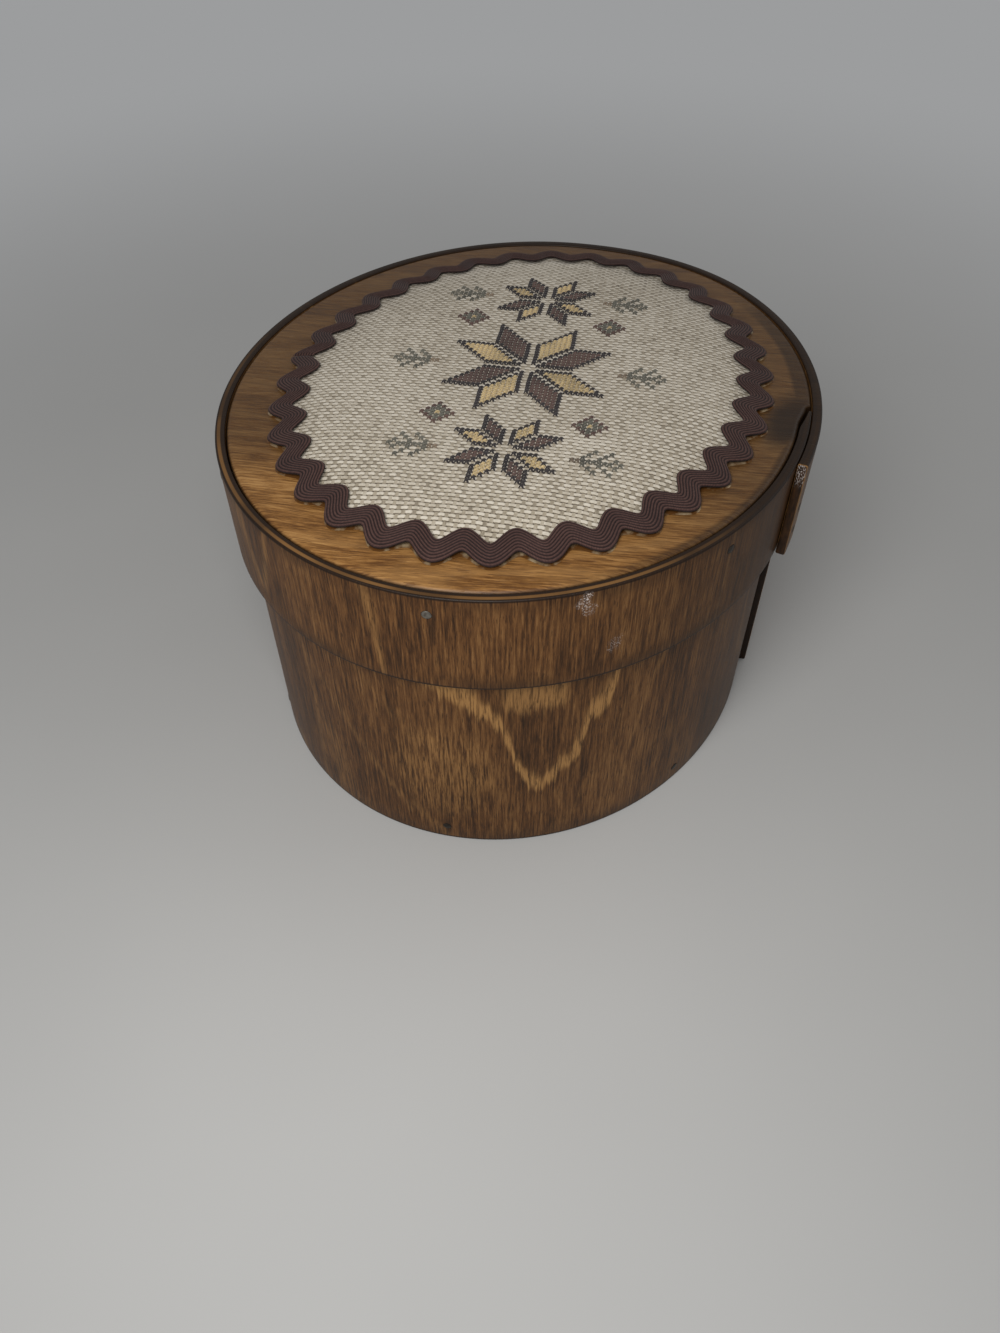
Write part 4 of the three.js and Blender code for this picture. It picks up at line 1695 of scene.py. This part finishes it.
class BENTWOOD_OT_nails(bpy.types.Operator):
    """Drives the brads of both boards and the tacks of both laps."""

    bl_idname = "bentwood.nails"
    bl_label = "Nails"

    def execute(self, context):
        nail = nail_shape()
        steel = nail_metal()
        nails("base_brads", "base", "base_brad", base_brad_spots(), nail.brad_length, steel)
        nails("base_lap_tacks", "base", "base_lap_tack", base_tack_spots(), nail.tack_length, steel)
        nails("lid_brads", "lid", "lid_brad", lid_brad_spots(), nail.brad_length, steel)
        nails("lid_lap_tacks", "lid", "lid_lap_tack", lid_tack_spots(), nail.tack_length, steel)
        return {"FINISHED"}


class BENTWOOD_OT_wadding(bpy.types.Operator):
    """Lays the crowned wadding under the needlework."""

    bl_idname = "bentwood.wadding"
    bl_label = "Wadding"

    ring_points = 120
    rows = 26
    innermost_turn = 0.06

    def execute(self, context):
        box = shape()
        edge = (PADDING_HIGH.x - PADDING_LOW.x) / 2 / panel_halves()[0]
        shares = edge * np.sin(np.linspace(self.innermost_turn, math.pi / 2, self.rows))
        top = [panel_ring(s, cloth_underside(s) - box.fitting_gap, self.ring_points) for s in shares]
        floor = box.box_height + box.fitting_gap
        underside = [panel_ring(s, floor, self.ring_points) for s in (edge, edge / 2)]
        shaped = lofted(np.array([*top, *underside]))
        piece = smooth(new_piece("wadding", *shaped, wadding_felt()))
        assign(piece, "lid", "padding", "panel_padding")
        return {"FINISHED"}


class BENTWOOD_OT_needlework(bpy.types.Operator):
    """Stretches the woven cloth over the wadding and works its cross-stitches."""

    bl_idname = "bentwood.needlework"
    bl_label = "Needlework"

    def execute(self, context):
        cloth = self.make_cloth()
        stitches = self.make_stitches()
        return {"FINISHED"}

    def make_cloth(self):
        vertices, faces, threads = cloth_mesh()
        cloth = new_piece("evenweave_cloth", vertices, faces, evenweave())
        store_vectors(cloth.data, "threads", threads)
        drop_loose(cloth)
        solid = cloth.modifiers.new("Thickness", "SOLIDIFY")
        solid.thickness = panel_shape().cloth_thickness
        solid.offset = -1
        settle(cloth)
        smooth(cloth, 75)
        assign(cloth, "lid", "cloth", "needlework_cloth")
        return cloth

    def make_stitches(self):
        cells = stitched_cells()
        pieces = []
        for name in ("black", "brown", "tan", "taupe", "grey"):
            material = yarn(name + " yarn", tuple(getattr(colours(), "yarn_" + name)))
            template = smooth(cross_stitch(material), 60)
            chosen = np.array([cell for cell, mark in cells.items() if mark == name]) + 0.5
            flat = weave_place(chosen[:, 0], chosen[:, 1])
            places = np.column_stack([flat, cloth_top(share_of(flat))])
            up = np.tile((0, 0, 1), (len(places), 1))
            piece = scattered(name + "_stitches", template, places, up, material)
            assign(piece, "lid", "cloth")
            pieces.append(piece)
        return pieces


class BENTWOOD_OT_braid(bpy.types.Operator):
    """Lays the rick-rack braid round the panel's edge, and the thread of glue that shows beside it."""

    bl_idname = "bentwood.braid"
    bl_label = "Rick-rack braid"

    glue_thickness = 0.12 * MM
    glue_gap = 0.02 * MM
    glue_points = 9
    glue_valley = 0.7

    def execute(self, context):
        braid = braid_shape()
        piece = smooth(ribbon("braid", woven_braid()), 60)
        assign(piece, "lid", "braid", "rick_rack_braid")
        flat_thread = {
            "Width": braid.width + 2 * braid.glue_width,
            "Thickness": self.glue_thickness,
            "Rib height": 0.0,
            "Base height": shape().box_height + self.glue_gap,
            "Lean": 0.0,
            "Points": self.glue_points,
            "Valley": self.glue_valley,
        }
        glue = smooth(ribbon("braid_glue", dried_glue(), **flat_thread))
        assign(glue, "lid", "braid")
        return {"FINISHED"}


class BENTWOOD_PT_panel(bpy.types.Panel):
    """Lists the steps that build the box."""

    bl_idname = "BENTWOOD_PT_panel"
    bl_label = "Bentwood Box"
    bl_space_type = "VIEW_3D"
    bl_region_type = "UI"
    bl_category = "Bentwood Box"

    def draw(self, context):
        for operator in OPERATORS:
            self.layout.operator(operator.bl_idname)
        for name in SETTINGS:
            self.layout.label(text=name.replace("bentwood_", "").title())
            group = getattr(context.scene, name)
            for item in group.bl_rna.properties:
                if item.identifier not in ("rna_type", "name"):
                    self.layout.prop(group, item.identifier)


SETTINGS = {
    "bentwood_shape": BoxShape,
    "bentwood_nails": NailShape,
    "bentwood_panel": PanelShape,
    "bentwood_braid": BraidShape,
    "bentwood_colours": BoxColours,
    "bentwood_studio": Studio,
}

OPERATORS = (
    BENTWOOD_OT_stage,
    BENTWOOD_OT_strips,
    BENTWOOD_OT_boards,
    BENTWOOD_OT_nails,
    BENTWOOD_OT_wadding,
    BENTWOOD_OT_needlework,
    BENTWOOD_OT_braid,
)


def register():
    for group in SETTINGS.values():
        bpy.utils.register_class(group)
    for name, group in SETTINGS.items():
        setattr(bpy.types.Scene, name, PointerProperty(type=group))
    for cls in (*OPERATORS, BENTWOOD_PT_panel):
        bpy.utils.register_class(cls)


def unregister():
    for cls in reversed((*OPERATORS, BENTWOOD_PT_panel)):
        bpy.utils.unregister_class(cls)
    for name in SETTINGS:
        delattr(bpy.types.Scene, name)
    for group in reversed(SETTINGS.values()):
        bpy.utils.unregister_class(group)


def main():
    register()
    bpy.ops.bentwood.stage()
    bpy.ops.bentwood.strips()
    bpy.ops.bentwood.boards()
    bpy.ops.bentwood.nails()
    bpy.ops.bentwood.wadding()
    bpy.ops.bentwood.needlework()
    bpy.ops.bentwood.braid()


if __name__ == "__main__":
    main()
